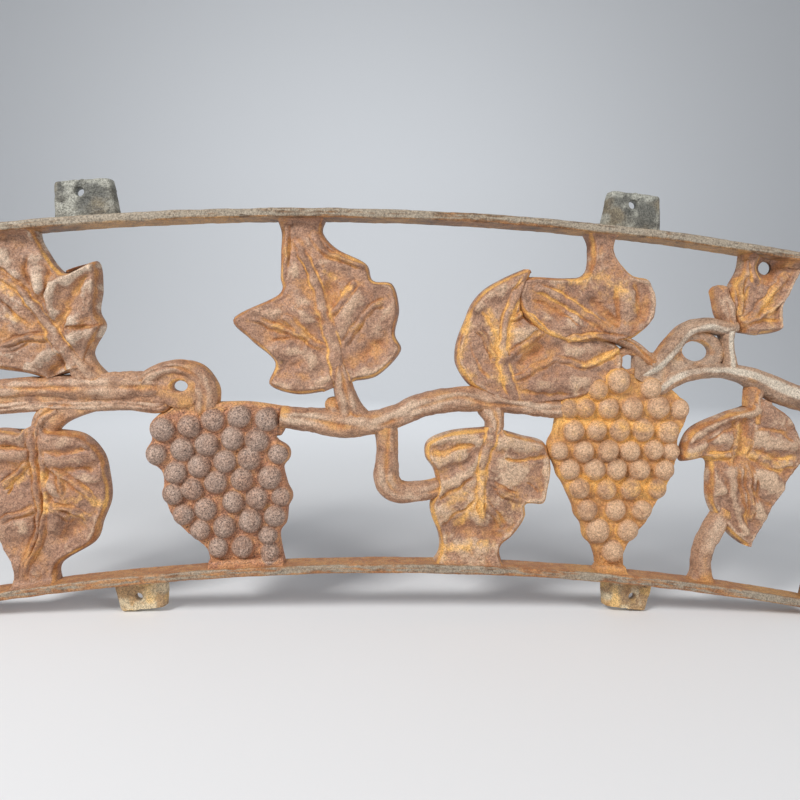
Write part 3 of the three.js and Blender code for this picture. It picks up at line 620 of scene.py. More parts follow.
def eye(name, seed):
    """Rings about the middle of an opening: up its wall, over a rounded lip, then out under the
    stems round it, and back along the rear."""
    middle, size, web_size, height = eyes[name]
    angle = np.linspace(0, 2 * np.pi, 110, endpoint=False)
    share, rise = np.array([
        (0, 0), (0, 0.5), (0.01, 0.82), (0.04, 0.93), (0.09, 0.99), (0.18, 1), (0.3, 0.99),
        (0.45, 0.98), (0.6, 0.96), (0.75, 0.92), (0.9, 0.85), (1, 0.7), (1, 0), (0.5, 0)
    ]).T[:, :, None]
    s = middle[0] + np.cos(angle) * (size[0] + share * (web_size[0] - size[0]))
    h = middle[1] + np.sin(angle) * (size[1] + share * (web_size[1] - size[1]))
    d = rise * (height + 0.9 * lumps(s, h, 6.0, seed) + 0.5 * lumps(s, h, 2.5, seed + 2))
    ring = np.exp(-((share - 0.03) / 0.08) ** 2) * smoothstep(-0.4, 0.8, np.sin(angle - 0.6))
    marks = {"rusty": 0.38 + 0.4 * lumps(s, h, 6.0, seed + 1) + 0.7 * ring,
             "bloom": 0.5 * ring + 0.3 * lumps(s, h, 8.0, seed + 4)}
    return skin(np.stack([s, h, d], axis=-1), marks, ring=True)


for order, name in enumerate(routes):
    skins = [stem(name, 100 + 10 * order)]
    if name in webs:
        skins.append(web(name, 105 + 10 * order))
    if name in eyes:
        skins.append(eye(name, 106 + 10 * order))
    bleached = name in paler_stems and paler_stems[name][0] > bleached_above
    casting(name, skins, bleached_stem_iron if bleached else stem_iron)


# ------------------------------------------------------------------ Bunches of grapes
# Each bunch is a plate with grapes standing out of it as plump domes that nearly touch. Their
# crowns are rubbed grey and speckled, and mauve and orange rust lies in the clefts between them.
grape_radius = 12.1
grape_reach = 17.5
grape_fall = 2.3       # power of the distance in a grape's dome: the higher, the plumper
bunch_plate = 8.5
bunch_wall = 3.0
bunch_rows, bunch_columns = 310, 270
widest_overhang = 4.0  # how far a grape may push the bunch's outline out

left_grape_iron = aged_iron(
    "left_grape_iron",
    body=((0.31, 0.18, 0.125), (0.36, 0.21, 0.145)),
    dark=(0.11, 0.075, 0.06),
    wear_and_highlight=(0.375, 0.27, 0.215),
    rust=((0.44, 0.195, 0.105), (0.55, 0.27, 0.13)),
    bloom=(0.72, 0.39, 0.15),
    speckle=0.75,
)
right_grape_iron = aged_iron(
    "right_grape_iron",
    body=((0.45, 0.25, 0.14), (0.52, 0.30, 0.165)),
    dark=(0.20, 0.11, 0.065),
    wear_and_highlight=(0.61, 0.395, 0.245),
    rust=((0.52, 0.24, 0.085), (0.64, 0.32, 0.11)),
    bloom=(0.90, 0.50, 0.14),
    speckle=0.46,
)

# Each bunch: its outline as its left, upper and right part, then the middle and relative size of
# every grape, with how much paler it is than the rest where given (a painted highlight on two
# grapes of the right bunch), the orange and the yellow added all over, and bands of yellow as
# lowest h, highest h and strength.
bunches = {
    "left_grapes": (
        [(-168, 5), (-171, 22), (-187, 37), (-199, 53), (-204, 72), (-204, 90), (-213, 100),
         (-216, 110), (-210, 120), (-209, 132)],
        [(-209, 132), (-203, 140), (-195, 143), (-186, 148), (-173, 149), (-149, 148),
         (-124, 147), (-95, 142)],
        [(-95, 142), (-95, 124), (-104, 117), (-94, 104), (-98, 90), (-94, 70), (-95, 57),
         (-97, 42), (-103, 33), (-102, 19), (-99, 5)],
        [(-199, 127.5, 1), (-176, 128.6, 1), (-156, 133.4, 1), (-134, 134.9, 1),
         (-111, 131.5, 1), (-206, 106.9, 0.9), (-184, 109.6, 1), (-162.5, 112.6, 1),
         (-140.6, 116.6, 1), (-120, 114, 1), (-102, 101.5, 0.85), (-191, 89.7, 1),
         (-170.6, 94.3, 1), (-148, 97.4, 1), (-127, 99, 1), (-194.7, 72, 0.9),
         (-178, 75.2, 0.95), (-157, 79.9, 1), (-134.6, 81.3, 1), (-110.3, 82.1, 1),
         (-187, 54.3, 0.95), (-167.3, 57.3, 1), (-143.2, 62, 1), (-121.9, 64.5, 1),
         (-101, 64.8, 0.85), (-173.6, 39.6, 0.9), (-152.2, 40.9, 1), (-129, 44.9, 1),
         (-107, 48.3, 0.95), (-158.9, 23.1, 0.9), (-137, 22.7, 1), (-114.3, 31.5, 0.85),
         (-112.8, 16.5, 0.9)],
        0.0, 0.0,
        [(141, 165, 0.45)],
    ),
    "right_grapes": (
        [(188, 5), (193, 13), (188, 26), (178, 41), (168, 57), (156, 77), (145, 94), (136, 114),
         (140, 128), (141, 151)],
        [(141, 151), (155, 160), (170, 174), (192, 184), (207, 184), (224, 181), (240, 175),
         (252, 167)],
        [(252, 167), (259, 158), (258, 145), (254, 130), (255, 104), (250, 86), (242, 68),
         (236, 52), (226, 39), (220, 25), (221, 12), (222, 5)],
        # the grapes at s 221 and 250 carry a fourth number: a painted highlight that makes them
        # paler
        [(174, 166, 0.9), (191.4, 175.7, 1.05), (221, 172.5, 0.95, 0.45), (151, 147.4, 0.9),
         (165, 149.5, 0.95), (185, 151, 1), (207, 153, 0.98), (229.5, 156.3, 1),
         (250, 157, 0.85, 0.5), (157, 129, 0.95), (177.5, 131, 0.98), (198, 133, 0.98),
         (219, 135, 1), (242, 136, 1), (146, 110, 0.85), (168, 111, 0.95),
         (190, 114, 1), (210, 116, 0.95), (231, 119, 0.95), (247.6, 119, 0.8),
         (157, 94, 0.95), (180, 96, 1), (200, 98, 0.95), (221, 100, 0.98),
         (243.5, 102, 0.95), (168, 79, 0.98), (192.5, 80, 0.98), (215, 82.5, 0.98),
         (239, 85, 0.95), (177.5, 60, 1), (204, 62, 1.02), (228.5, 64.5, 0.95),
         (190, 42.5, 1.15), (217.5, 45.5, 1), (206.3, 25, 1.05)],
        0.15, 0.10,
        [(136, 142, 0.9), (86, 91, 0.8), (160, 186, 0.30), (146, 160, 0.45), (124, 134, 0.35),
         (76, 84, 0.35)],
    ),
}


def even(listed, count):
    """Points evenly spread along the smooth curve through the listed ones."""
    fine = through(listed, np.linspace(0, len(listed) - 1, 40 * len(listed)))
    run = run_along(fine)
    places = np.linspace(0, run[-1], count)
    return np.stack([np.interp(places, run, fine[:, k]) for k in (0, 1)], axis=-1)


def along_line(s, h, line):
    """Distance in mm from each grid point to the nearest of a line's straight stretches, and how
    far along the line that is, from 0 to 1."""
    start, step = line[:-1], np.diff(line, axis=0)
    found, run = np.full(s.shape, 1e9), np.zeros(s.shape)
    for order, ((a, b), (u, v)) in enumerate(zip(start, step)):
        share = np.clip(((s - a) * u + (h - b) * v) / (u * u + v * v + 1e-9), 0, 1)
        gap = np.hypot(s - a - share * u, h - b - share * v)
        closer = gap < found
        found = np.where(closer, gap, found)
        run = np.where(closer, (order + share) / len(step), run)
    return found, run


def stands_proud(depth, span):
    """How far each grid point stands above the mean of the square of its neighbours within span
    rows and columns, from running sums."""
    mean = depth
    for axis in (0, 1):
        pad = [(0, 0), (0, 0)]
        pad[axis] = (span + 1, span)
        total = np.moveaxis(np.cumsum(np.pad(mean, pad, mode="edge"), axis=axis), axis, 0)
        count = 2 * span + 1
        mean = np.moveaxis((total[count:] - total[:-count]) / count, 0, axis)
    return depth - mean


toe_length, toe_height = 5.0, 8.0    # of the hollow fillet where a piece meets a rail


def toe(h, depth):
    """Raises the depth to a hollow quarter ellipse over the last few mm beside either rail."""
    gap = np.clip(np.minimum(h - rail_face, upper_seat - h) / toe_length, 0, 1)
    fillet = rail_depth - 2.0 - toe_height * np.sqrt(1 - (1 - gap) ** 2)
    return np.where(gap < 1, np.maximum(depth, fillet), depth)


def bunch(name, material, seed):
    """A Coons patch: the sum of the blends between its upper and lower edges and between its left
    and right ones, less the blend of its corners. Depth is the smooth maximum of the plate and
    of the grapes, each a dome that falls off as the root of one less a power of the distance.
    The outline is first pushed out to the rim of any grape that overhangs it."""
    left, top, right, listed, orange, yellow, bands = bunches[name]
    grapes = np.array([grape[:2] for grape in listed])
    shake = np.random.default_rng(seed)
    # each grape's paleness: a random share, plus the fourth number where listed, a painted
    # highlight
    bare = [(*grape, 0.0)[3] + shake.uniform(-0.18, 0.12) for grape in listed]
    sizes = grape_radius * np.array([grape[2] for grape in listed])
    sizes = sizes * shake.uniform(0.97, 1.03, len(listed))
    reaches = grape_reach * shake.uniform(0.93, 1.0, len(listed))
    reaches = reaches * np.minimum(1, sizes / grape_radius + 0.08)
    rows, columns = bunch_rows, bunch_columns
    margin = np.concatenate([even(left, rows), even(top, columns)[1:], even(right, rows)[1:]])
    outward = aside_of(margin)
    step = grapes[None] - margin[:, None]
    ahead = np.einsum("mgk,mk->mg", step, outward)
    aside = step[..., 0] * outward[:, None, 1] - step[..., 1] * outward[:, None, 0]
    rim = 0.98 * sizes
    leaves_at = ahead + np.sqrt(np.maximum(rim ** 2 - aside ** 2, 0))
    overhang = np.where(np.abs(aside) < rim, np.clip(leaves_at, 0, widest_overhang), 0).max(axis=1)
    overhang = np.convolve(np.pad(overhang, 6, mode="edge"), np.full(13, 1 / 13), mode="valid")
    margin = margin + outward * overhang[:, None]
    left, top = margin[:rows][::-1], margin[rows - 1:rows + columns - 1]
    right = margin[rows + columns - 2:]
    v = np.linspace(0, 1, rows)[:, None, None]
    u = np.linspace(0, 1, columns)[None, :, None]
    foot = left[-1] + (right[-1] - left[-1]) * u
    plan = (1 - v) * top[None] + v * foot + (1 - u) * left[:, None] + u * right[:, None]
    plan = plan - (1 - v) * ((1 - u) * top[0] + u * top[-1]) - v * foot
    s, h = plan[..., 0], plan[..., 1]
    away = along_line(s, h, margin[::3])[0]
    wall = np.sqrt(1 - (1 - np.clip(away / bunch_wall, 0, 1)) ** 2)
    total = np.exp(toe(h, bunch_plate * wall + 0.5 * lumps(s, h, 7.0, seed)))
    nearest, own_paleness_and_highlight = np.full(s.shape, 1e9), np.zeros(s.shape)
    for order, ((gs, gh), size, reach) in enumerate(zip(grapes, sizes, reaches)):
        dent = 0.045 * lumps(s + 40 * order, h, 8.0, seed + 3)
        out = np.maximum(np.hypot(s - gs, h - gh) / size + dent, 0)
        dome = reach * np.sqrt(np.clip(1 - out ** grape_fall, 0, 1))
        total += np.where(out < 1, np.exp(dome) - 1, 0)
        own_paleness_and_highlight = np.where(out < nearest, bare[order], own_paleness_and_highlight)
        nearest = np.minimum(nearest, out)
    depth = np.log(total) * np.clip(away / 0.5, 0, 1) ** 0.5
    pits = 0.4 * lumps(s, h, 2.8, seed + 1) + 0.28 * lumps(s, h, 1.3, seed + 2)
    depth = np.maximum(depth + pits * (depth > 3) * np.clip(away / 1.5, 0, 1), 0)
    crown = smoothstep(1.0, 0.62, nearest)
    drift = lumps(s, h, 26.0, seed + 5)
    cleft = smoothstep(0.70, 0.96, nearest)
    lip = np.exp(-((nearest - 0.88) / 0.08) ** 2)
    lip = lip * smoothstep(-0.2, 0.6, lumps(s, h, 14.0, seed + 7))
    rim_line = smoothstep(3.2, 1.2, away)
    bands = sum(strength * smoothstep(low - 5, low + 2, h) * smoothstep(high + 5, high - 2, h)
                for low, high, strength in bands) * (0.75 + 0.6 * drift)
    marks = {
        "wear_and_highlight": crown * (0.68 + own_paleness_and_highlight + 0.3 * lumps(s, h, 9.0, seed + 6)) - 0.4 * bands,
        "rusty": 0.72 * cleft + 0.25 * drift + orange + 0.35 * rim_line,
        "bloom": (bands + yellow * (1 + 0.8 * drift)) * (0.5 + 0.6 * cleft)
                 + 0.4 * lip + 0.2 * rim_line,
    }
    back = left[:, None] + (right - left)[:, None] * np.linspace(1, 0, 9)[None, 1:-1, None]
    front = np.concatenate([plan, depth[..., None]], axis=-1)
    casting(name, [backed(front, back, marks)], material)


bunch("left_grapes", left_grape_iron, 401)
bunch("right_grapes", right_grape_iron, 431)


# ------------------------------------------------------------------ Leaves
# Lobed vine leaves, thin at the margin and swollen between the veins. Ribs run from a midrib to
# both margins; the veins stand up and catch orange rust, and the lobes are mauve-brown.
leaf_edge = 9.5
leaf_crown = 3.6
leaf_fold = 1.5
leaf_rim = 1.1
leaf_wall = 4.2
vein_rise = 2.0
puff_rise = 3.0
crease_fall = 1.7
hollow_fall = 3.2
thinnest, thickest = 2.0, 20.5
leaf_rows, leaf_columns = 210, 190
stroke_wander = 1.3    # how far a stroke strays from its line
# a round hole goes through the small folded leaf's neck, at the foot of a funnel
neck_hole_at = (304.5, 290.0)
neck_hole_radius = 5.8
funnel_depth, funnel_slope = 4.5, 1.1

# in both leaf irons the pale colour serves rubbed wear and a painted highlight on raised relief
leaf_iron = aged_iron(
    "leaf_iron",
    body=((0.34, 0.185, 0.12), (0.40, 0.23, 0.15)),
    dark=(0.15, 0.08, 0.05),
    wear_and_highlight=(0.58, 0.405, 0.275),
    rust=((0.44, 0.18, 0.065), (0.56, 0.27, 0.10)),
    bloom=(0.86, 0.48, 0.14),
)
bleached_leaf_iron = aged_iron(
    "bleached_leaf_iron",
    body=((0.34, 0.19, 0.12), (0.40, 0.235, 0.155)),
    dark=(0.13, 0.075, 0.05),
    wear_and_highlight=(0.63, 0.50, 0.38),
    rust=((0.35, 0.15, 0.06), (0.52, 0.25, 0.09)),
    bloom=(0.86, 0.48, 0.14),
)

# Each rib: its fold, then s and h on the midrib, on the left margin and on the right one. The
# fold is 1 on a side vein and -1 in a valley.
leaves = {
    "upper_left_leaf": [
        (0, -307, 299, -336, 299, -279, 299), (0, -309, 280, -337, 282, -277, 286),
        (-1, -302, 262, -339, 264, -263, 263), (1, -293, 248, -359, 246, -239, 271),
        (0, -285, 234, -354, 226, -237, 249), (-1, -278, 220, -348, 210, -241, 230),
        (1, -274, 208, -342, 195, -238, 216), (0, -271, 197, -305, 184, -250, 198),
        (0, -267, 184, -290, 177, -254, 184)],
    "lower_left_leaf": [
        (0, -303, 141, -314, 137, -292, 136), (1, -303, 126, -338, 141, -266, 129),
        (0, -303, 112, -354, 125, -252, 112), (-1, -304, 98, -352, 100, -249, 92),
        (1, -304, 84, -359, 78, -250, 72), (0, -306, 68, -352, 58, -259, 54),
        (-1, -311, 50, -349, 42, -269, 36), (0, -320, 28, -343, 25, -300, 21),
        (0, -324, 6, -345, 6, -303, 6)],
    "top_center_leaf": [
        (0, -80, 299, -97, 299, -58, 299), (0, -82, 288, -94, 288, -61, 288),
        (0, -80, 273, -95, 272, -50, 275), (0, -74, 256, -96, 252, -27, 263),
        (-1, -66, 240, -98, 237, -21, 249), (1, -60, 224, -135, 218, -5, 246),
        (0, -56, 210, -122, 199, 1, 225), (-1, -52, 194, -103, 180, -2, 204),
        (1, -49, 180, -108, 161, 3, 189), (0, -47, 170, -86, 152, -16, 168),
        (0, -46, 162, -62, 154, -36, 163)],
    "broad_left_leaf": [
        (0, 103, 150, 82, 151, 122, 147), (0, 97, 160, 62, 163, 160, 156),
        (1, 91, 169, 51, 178, 182, 170), (0, 88, 179, 49, 190, 194, 184),
        (-1, 86, 191, 51, 203, 193, 200), (1, 86, 204, 56, 218, 176, 212),
        (0, 87, 217, 61, 232, 120, 217), (0, 90, 232, 71, 245, 104, 229),
        (0, 96, 248, 87, 256, 105, 246), (0, 105, 263, 102, 264, 109, 262)],
    "broad_right_leaf": [
        (0, 161, 299, 148, 299, 176, 299), (0, 162, 286, 154, 286, 176, 284),
        (-1, 163, 268, 150, 262, 192, 268), (1, 164, 254, 106, 258, 207, 265),
        (0, 165, 242, 99, 250, 215, 248), (-1, 166, 231, 98, 238, 215, 232),
        (1, 167, 222, 105, 224, 207, 220), (0, 168, 216, 122, 209, 198, 212),
        (0, 165, 211, 142, 204, 186, 208)],
    "lower_center_leaf": [
        (0, 84, 128, 77, 126, 98, 124), (0, 82, 120, 49, 122, 112, 121),
        (1, 80, 112, 29, 113, 133, 116), (0, 78, 103, 27, 99, 141, 97),
        (-1, 77, 94, 35, 87, 140, 77), (0, 76, 84, 38, 72, 137, 62), (1, 76, 72, 33, 58, 122, 60),
        (0, 77, 58, 35, 46, 122, 49), (-1, 77, 42, 42, 30, 113, 33), (0, 73, 22, 43, 16, 101, 20),
        (0, 70, 6, 37, 6, 104, 6)],
    "small_folded_leaf": [
        (0, 299, 299, 281, 299, 339, 299), (0, 298, 286, 281, 284, 333, 289),
        (1, 296, 270, 276, 268, 328, 270), (-1, 295, 256, 278, 256, 325, 257),
        (0, 295, 246, 281, 246, 326, 247), (0, 297, 237, 286, 237, 327, 238),
        (0, 299, 231, 291, 231, 307, 231)],
    "lower_right_leaf": [
        (0, 318, 177, 310, 168, 333, 174), (1, 319, 163, 289, 158, 352, 165),
        (0, 319, 151, 262, 139, 365, 149), (0, 319, 138, 259, 112, 374, 133),
        (-1, 319, 124, 282, 116, 368, 119), (1, 320, 110, 286, 99, 359, 101),
        (0, 322, 92, 290, 82, 354, 82), (-1, 325, 74, 300, 67, 349, 68),
        (0, 329, 57, 318, 52, 343, 52), (0, 335, 45, 331, 45, 340, 45)],
}

# what is added to a leaf's depth, how strong its relief is, what is added to its marks of
# paleness (wear and painted highlight), rust and bloom, and how bare its margin is
leaf_tones = {
    "upper_left_leaf": (0.0, 1.5, -0.02, 0.0, 0.0, 0.55),
    "lower_left_leaf": (0.0, 1.4, -0.14, 0.05, 0.0, 0.1),
    "top_center_leaf": (0.0, 1.1, -0.13, 0.0, 0.0, 0.1),
    "broad_left_leaf": (-1.0, 1.1, -0.03, 0.06, 0.12, 0.15),
    "broad_right_leaf": (2.4, 1.1, -0.08, 0.0, 0.05, 0.15),
    "lower_center_leaf": (0.0, 1.3, 0.30, 0.0, 0.20, 0.2),
    "small_folded_leaf": (0.0, 1.1, 0.0, 0.0, 0.14, 0.35),
    "lower_right_leaf": (0.0, 1.3, 0.18, 0.05, 0.05, 0.1),
}

# Ornament on each leaf, by kind. Each stroke lists its half width at its first and at its last
# point, then s and h of every point. A vein stands up flat-topped between two creases, a
# crease and a hollow sink, a puff swells, and a bloom is only a patch of yellow rust.
ornament = {
    "upper_left_leaf": {
        "vein": [(0.9, 5.6, -310, 263, -304, 259, -297, 253, -291, 243, -285, 233, -280, 224,
             -275, 211, -271, 203, -267, 192, -262, 183, -257, 172),
            (1.2, 1.6, -318, 209, -305, 212, -292, 212, -280, 210)],
        "crease": [(1.2, 1.2, -286, 280, -291, 271, -290, 261, -287, 251, -282, 241),
            (1.6, 1.2, -276, 273, -275, 264, -276, 252, -279, 245, -278, 235, -275, 229),
            (2, 2.6, -245, 259, -251, 251, -256, 245, -262, 236, -267, 226, -270, 215),
            (1.2, 1.2, -266, 219, -255, 217, -239, 219),
            (0.9, 0.9, -313, 245, -307, 238, -301, 230, -293, 222),
            (0.9, 0.9, -319, 202, -308, 203, -296, 208),
            (1.2, 1.2, -309, 271, -301, 263, -295, 258)],
        "puff": [(5, 4, -284, 274, -283, 263, -282, 251),
            (3.2, 3.6, -243, 263, -252, 259, -260, 256, -268, 254, -272, 250, -275, 242, -276, 235,
             -274, 230), (5.5, 5, -244, 251, -248, 235, -253, 228, -261, 222),
            (5, 4, -260, 208, -251, 211, -239, 213),
            (3.6, 3, -299, 188, -288, 194, -276, 199),
            (6, 5, -308, 279, -302, 271, -298, 265)],
        "hollow": [(4, 3, -283, 183, -273, 190)],
        "bloom": [(4, 4, -308, 232, -302, 228), (4, 4, -309, 256, -302, 249)],
    },
    "top_center_leaf": {
        "vein": [(1.4, 5.2, -81, 278, -74, 263, -69, 250, -64, 236, -61, 222, -58, 210, -54, 195,
             -51, 180, -48, 167, -44, 150), (1, 1.3, -80, 227, -72, 223, -66, 219, -58, 210),
            (1.6, 1.8, -94, 217, -88, 214, -82, 207, -76, 201, -69, 195, -61, 190),
            (1, 1.3, -119, 217, -111, 214, -101, 210, -90, 206, -80, 202, -71, 199),
            (1.8, 1.5, -36, 245, -41, 237, -48, 227, -57, 215),
            (1.4, 1.6, -12, 229, -20, 227, -27, 220, -35, 209, -44, 195),
            (0.9, 0.9, -69, 285, -59, 272, -46, 265, -25, 259),
            (0.9, 0.9, -90, 293, -89, 276, -93, 254, -95, 237)],
        "crease": [(0.9, 0.9, -103, 198, -95, 199, -85, 200), (0.9, 0.9, -48, 239, -45, 231),
            (0.8, 0.8, -33, 214, -25, 222)],
        "puff": [(4.5, 4.5, -40, 169, -26, 169, -13, 174, -6, 179, -1, 188),
            (4, 4, -103, 161, -90, 160, -70, 160, -56, 166),
            (6, 5, -46, 207, -40, 222, -33, 232), (6, 5, -87, 254, -83, 237, -72, 217),
            (5, 4, -117, 223, -99, 222), (7, 6, -100, 188, -84, 187, -73, 184),
            (6, 5, -20, 207, -7, 224)],
        "hollow": [(6, 6, -40, 180, -26, 186, -16, 192), (5, 4, -56, 239, -53, 230)],
        "bloom": [(3, 3, -60, 255, -52, 249), (3, 2, -46, 237, -36, 244),
            (3, 3, -101, 174, -97, 179)],
    },
    "broad_left_leaf": {
        "vein": [(2, 3.2, 104, 257, 97, 244, 92, 231, 89, 213, 89, 195, 90, 181, 95, 167,
             101, 154), (1.2, 1.2, 93, 186, 102, 196, 114, 206, 120, 212),
            (1.2, 1.4, 92, 219, 100, 224, 104, 227),
            (1.4, 1.4, 99, 169, 111, 175, 121, 182, 135, 190),
            (1.2, 1.6, 135, 190, 146, 188, 159, 186, 173, 191, 185, 200, 195, 207),
            (1, 1.2, 67, 210, 75, 200, 82, 186)],
        "crease": [(1.2, 1.2, 68, 226, 76, 218, 81, 204, 85, 191),
            (1.2, 1.2, 61, 199, 63, 192, 71, 176, 79, 168),
            (0.9, 0.9, 106, 160, 128, 158, 150, 161)],
        "puff": [(3.5, 2.5, 65, 228, 76, 239, 89, 248, 101, 257),
            (5, 5, 118, 166, 139, 168, 160, 171), (5, 5, 145, 198, 169, 200),
            (5, 5, 103, 209, 113, 215)],
        "hollow": [(4, 4, 105, 182, 118, 197)],
        "bloom": [(4, 4, 58, 220, 57, 206, 54, 188), (5, 5, 74, 225, 84, 195, 90, 170),
            (3, 3, 93, 226, 95, 199), (4, 4, 159, 186, 173, 191, 187, 200),
            (3, 3, 55, 175, 64, 169)],
    },
    "broad_right_leaf": {
        "vein": [(1.8, 2.2, 102, 226, 111, 220, 121, 212, 132, 205, 143, 206, 153, 209, 167, 212,
             184, 211, 198, 210), (2.5, 1.5, 114, 249, 136, 240, 155, 229, 178, 217)],
        "crease": [(1.4, 1.4, 177, 253, 181, 239, 184, 225),
            (1.6, 1.4, 192, 260, 197, 248, 200, 230), (0.9, 0.9, 111, 238, 129, 232, 152, 218)],
        "puff": [(3, 3, 197, 267, 206, 258, 210, 246, 211, 233, 204, 223),
            (5, 5, 188, 247, 192, 233)],
        "hollow": [(4, 3, 161, 240, 172, 233, 182, 225), (9, 7, 117, 237, 133, 227)],
        "bloom": [(8, 9, 155, 260, 169, 257, 184, 255),
            (4, 4, 120, 214, 143, 206, 167, 214), (4, 4, 191, 244, 197, 237),
            (5, 5, 134, 254, 152, 257)],
    },
    "lower_left_leaf": {
        "vein": [(1.5, 1.5, -304, 138, -306, 122, -307, 106, -308, 88, -308, 74, -309, 63, -313, 51,
             -320, 39, -328, 25, -333, 13),
            (1.6, 1.5, -299, 129, -300, 111, -302, 91, -301, 78, -304, 67, -308, 55, -313, 42,
             -324, 27, -330, 14),
            (1.3, 1.8, -297, 106, -289, 100, -282, 94, -274, 86, -267, 80, -262, 72),
            (1, 1, -288, 98, -287, 91, -286, 83),
            (1.2, 1.4, -302, 76, -297, 71, -290, 65, -284, 60),
            (0.9, 1, -295, 71, -286, 69, -279, 66, -270, 59),
            (1.6, 1.6, -311, 110, -322, 103, -329, 98, -337, 94),
            (1.1, 1.1, -314, 71, -323, 69, -335, 67, -343, 63)],
        "crease": [(1.5, 1, -300, 136, -302, 122, -304, 102, -304, 84, -305, 72, -308, 60,
             -312, 48, -320, 35, -330, 17), (1.2, 1.2, -296, 118, -284, 115, -271, 115, -263, 117),
            (1.2, 1.2, -296, 106, -283, 101, -269, 101, -260, 98),
            (1.2, 1.2, -309, 122, -320, 125, -332, 127), (0.8, 0.8, -327, 96, -333, 86)],
        "puff": [(5, 4, -294, 125, -279, 124, -262, 121),
            (5, 5, -294, 110, -278, 109, -261, 111), (4, 4, -273, 94, -260, 92, -251, 96),
            (4, 4, -296, 89, -294, 86), (5, 5, -297, 66, -297, 53),
            (4, 4, -328, 134, -313, 132), (4, 4, -331, 119, -315, 119),
            (6, 6, -339, 56, -325, 57)],
        "hollow": [(7, 7, -293, 48, -281, 52)],
        "bloom": [(5, 5, -282, 76, -268, 74, -258, 70), (4, 4, -279, 64, -270, 59),
            (3, 3, -300, 98, -301, 78, -303, 69), (4, 4, -312, 104, -322, 95)],
    },
    "lower_center_leaf": {
        "vein": [(3.8, 3, 85, 129, 82, 117, 79, 107, 77, 95, 77, 84),
            (2.6, 1.6, 77, 85, 77, 73, 79, 60, 81, 47),
            (1, 1.2, 87, 80, 93, 75, 101, 71, 110, 68), (1, 1.2, 91, 73, 102, 68, 113, 64),
            (1.2, 1.4, 82, 64, 87, 57, 93, 50, 100, 41)],
        "crease": [(1.6, 1.6, 33, 103, 45, 103, 57, 109, 69, 112),
            (1.3, 1.3, 40, 64, 56, 72, 68, 84), (1.2, 1.2, 96, 100, 109, 99, 123, 102, 134, 104),
            (0.9, 0.9, 119, 81, 125, 78, 131, 72), (1.2, 1.2, 73, 64, 64, 55, 54, 48, 45, 39)],
        "puff": [(4.5, 4, 30, 115, 44, 117, 60, 118, 72, 115),
            (5, 4, 34, 95, 49, 99, 61, 102),
            (4.4, 3.2, 28, 70, 39, 73, 49, 78, 58, 84, 67, 92, 74, 99),
            (5, 5, 91, 116, 106, 116, 124, 113), (9, 9, 95, 88, 106, 87),
            (3, 3, 134, 101, 137, 82, 137, 66, 126, 63), (4, 4, 42, 52, 47, 48)],
        "hollow": [(8, 8, 65, 36, 92, 34)],
        "bloom": [(6, 6, 76, 84, 78, 73, 80, 49), (5, 5, 51, 61, 61, 69),
            (4, 4, 70, 56, 61, 42), (4, 4, 104, 59, 111, 58),
            (4.5, 4.5, 42, 18, 62, 21, 87, 25), (3, 3, 33, 58, 36, 40)],
    },
    "small_folded_leaf": {
        "vein": [(2.2, 2, 290, 297, 291, 285, 294, 275),
            (1.3, 1.6, 320, 285, 313, 274, 308, 266, 304, 257, 297, 246, 290, 237, 285, 231),
            (1, 0.8, 283, 279, 283, 268, 287, 257, 287, 245)],
        "crease": [(0.9, 0.9, 314, 283, 309, 264, 300, 248), (1, 1, 289, 271, 290, 258),
            (1, 1, 296, 241, 308, 244, 320, 246)],
        "puff": [(1.8, 1.4, 288, 238, 297, 243, 308, 250, 320, 262),
            (3, 3, 296, 236, 307, 238, 322, 240),
            (1.6, 1.6, 329, 290, 324, 272, 321, 258, 323, 240), (3.5, 3.5, 281, 290, 283, 281)],
        "hollow": [(5.5, 4.5, 316, 296, 309, 287, 303, 277)],
        "bloom": [(6, 6, 310, 258, 312, 248), (3, 3, 285, 252, 288, 241)],
    },
    "lower_right_leaf": {
        "vein": [(1.3, 1, 300, 154, 303, 139, 304, 124, 303, 112),
            (1.2, 1, 312, 152, 314, 138, 314, 124),
            (1.2, 1.2, 316, 118, 321, 104, 327, 88, 332, 70),
            (2.8, 3.4, 318, 128, 331, 124, 345, 121, 361, 126),
            (1.8, 2.4, 280, 119, 294, 121, 303, 124)],
        "crease": [(1.6, 1.6, 305, 158, 307, 146, 309, 134, 309, 118),
            (1.4, 1.4, 311, 110, 316, 96, 323, 80, 330, 62),
            (1, 1, 322, 116, 330, 102, 335, 84),
            (1.3, 1.3, 313, 146, 328, 151, 344, 150, 357, 144),
            (1.5, 1.5, 326, 96, 336, 90, 349, 84), (1.2, 1.2, 278, 132, 290, 143, 302, 148)],
        "puff": [(3, 3.2, 261, 131, 274, 142, 285, 151, 300, 159, 317, 166),
            (3.4, 2.8, 303, 112, 306, 98, 311, 84, 319, 70, 328, 59),
            (7, 6, 321, 142, 335, 139, 353, 140), (7.5, 6, 333, 110, 343, 104, 352, 100),
            (5, 4, 336, 80, 342, 74), (4, 4, 287, 104, 298, 90),
            (4, 4, 262, 121, 274, 128), (5, 4, 286, 138, 297, 136)],
        "bloom": [(5, 6, 281, 119, 294, 120, 306, 126, 317, 128, 333, 124, 347, 122, 360, 127),
            (3, 3, 303, 149, 305, 136), (4, 4, 325, 74, 327, 70),
            (4, 4, 262, 118, 277, 123)],
    },
}


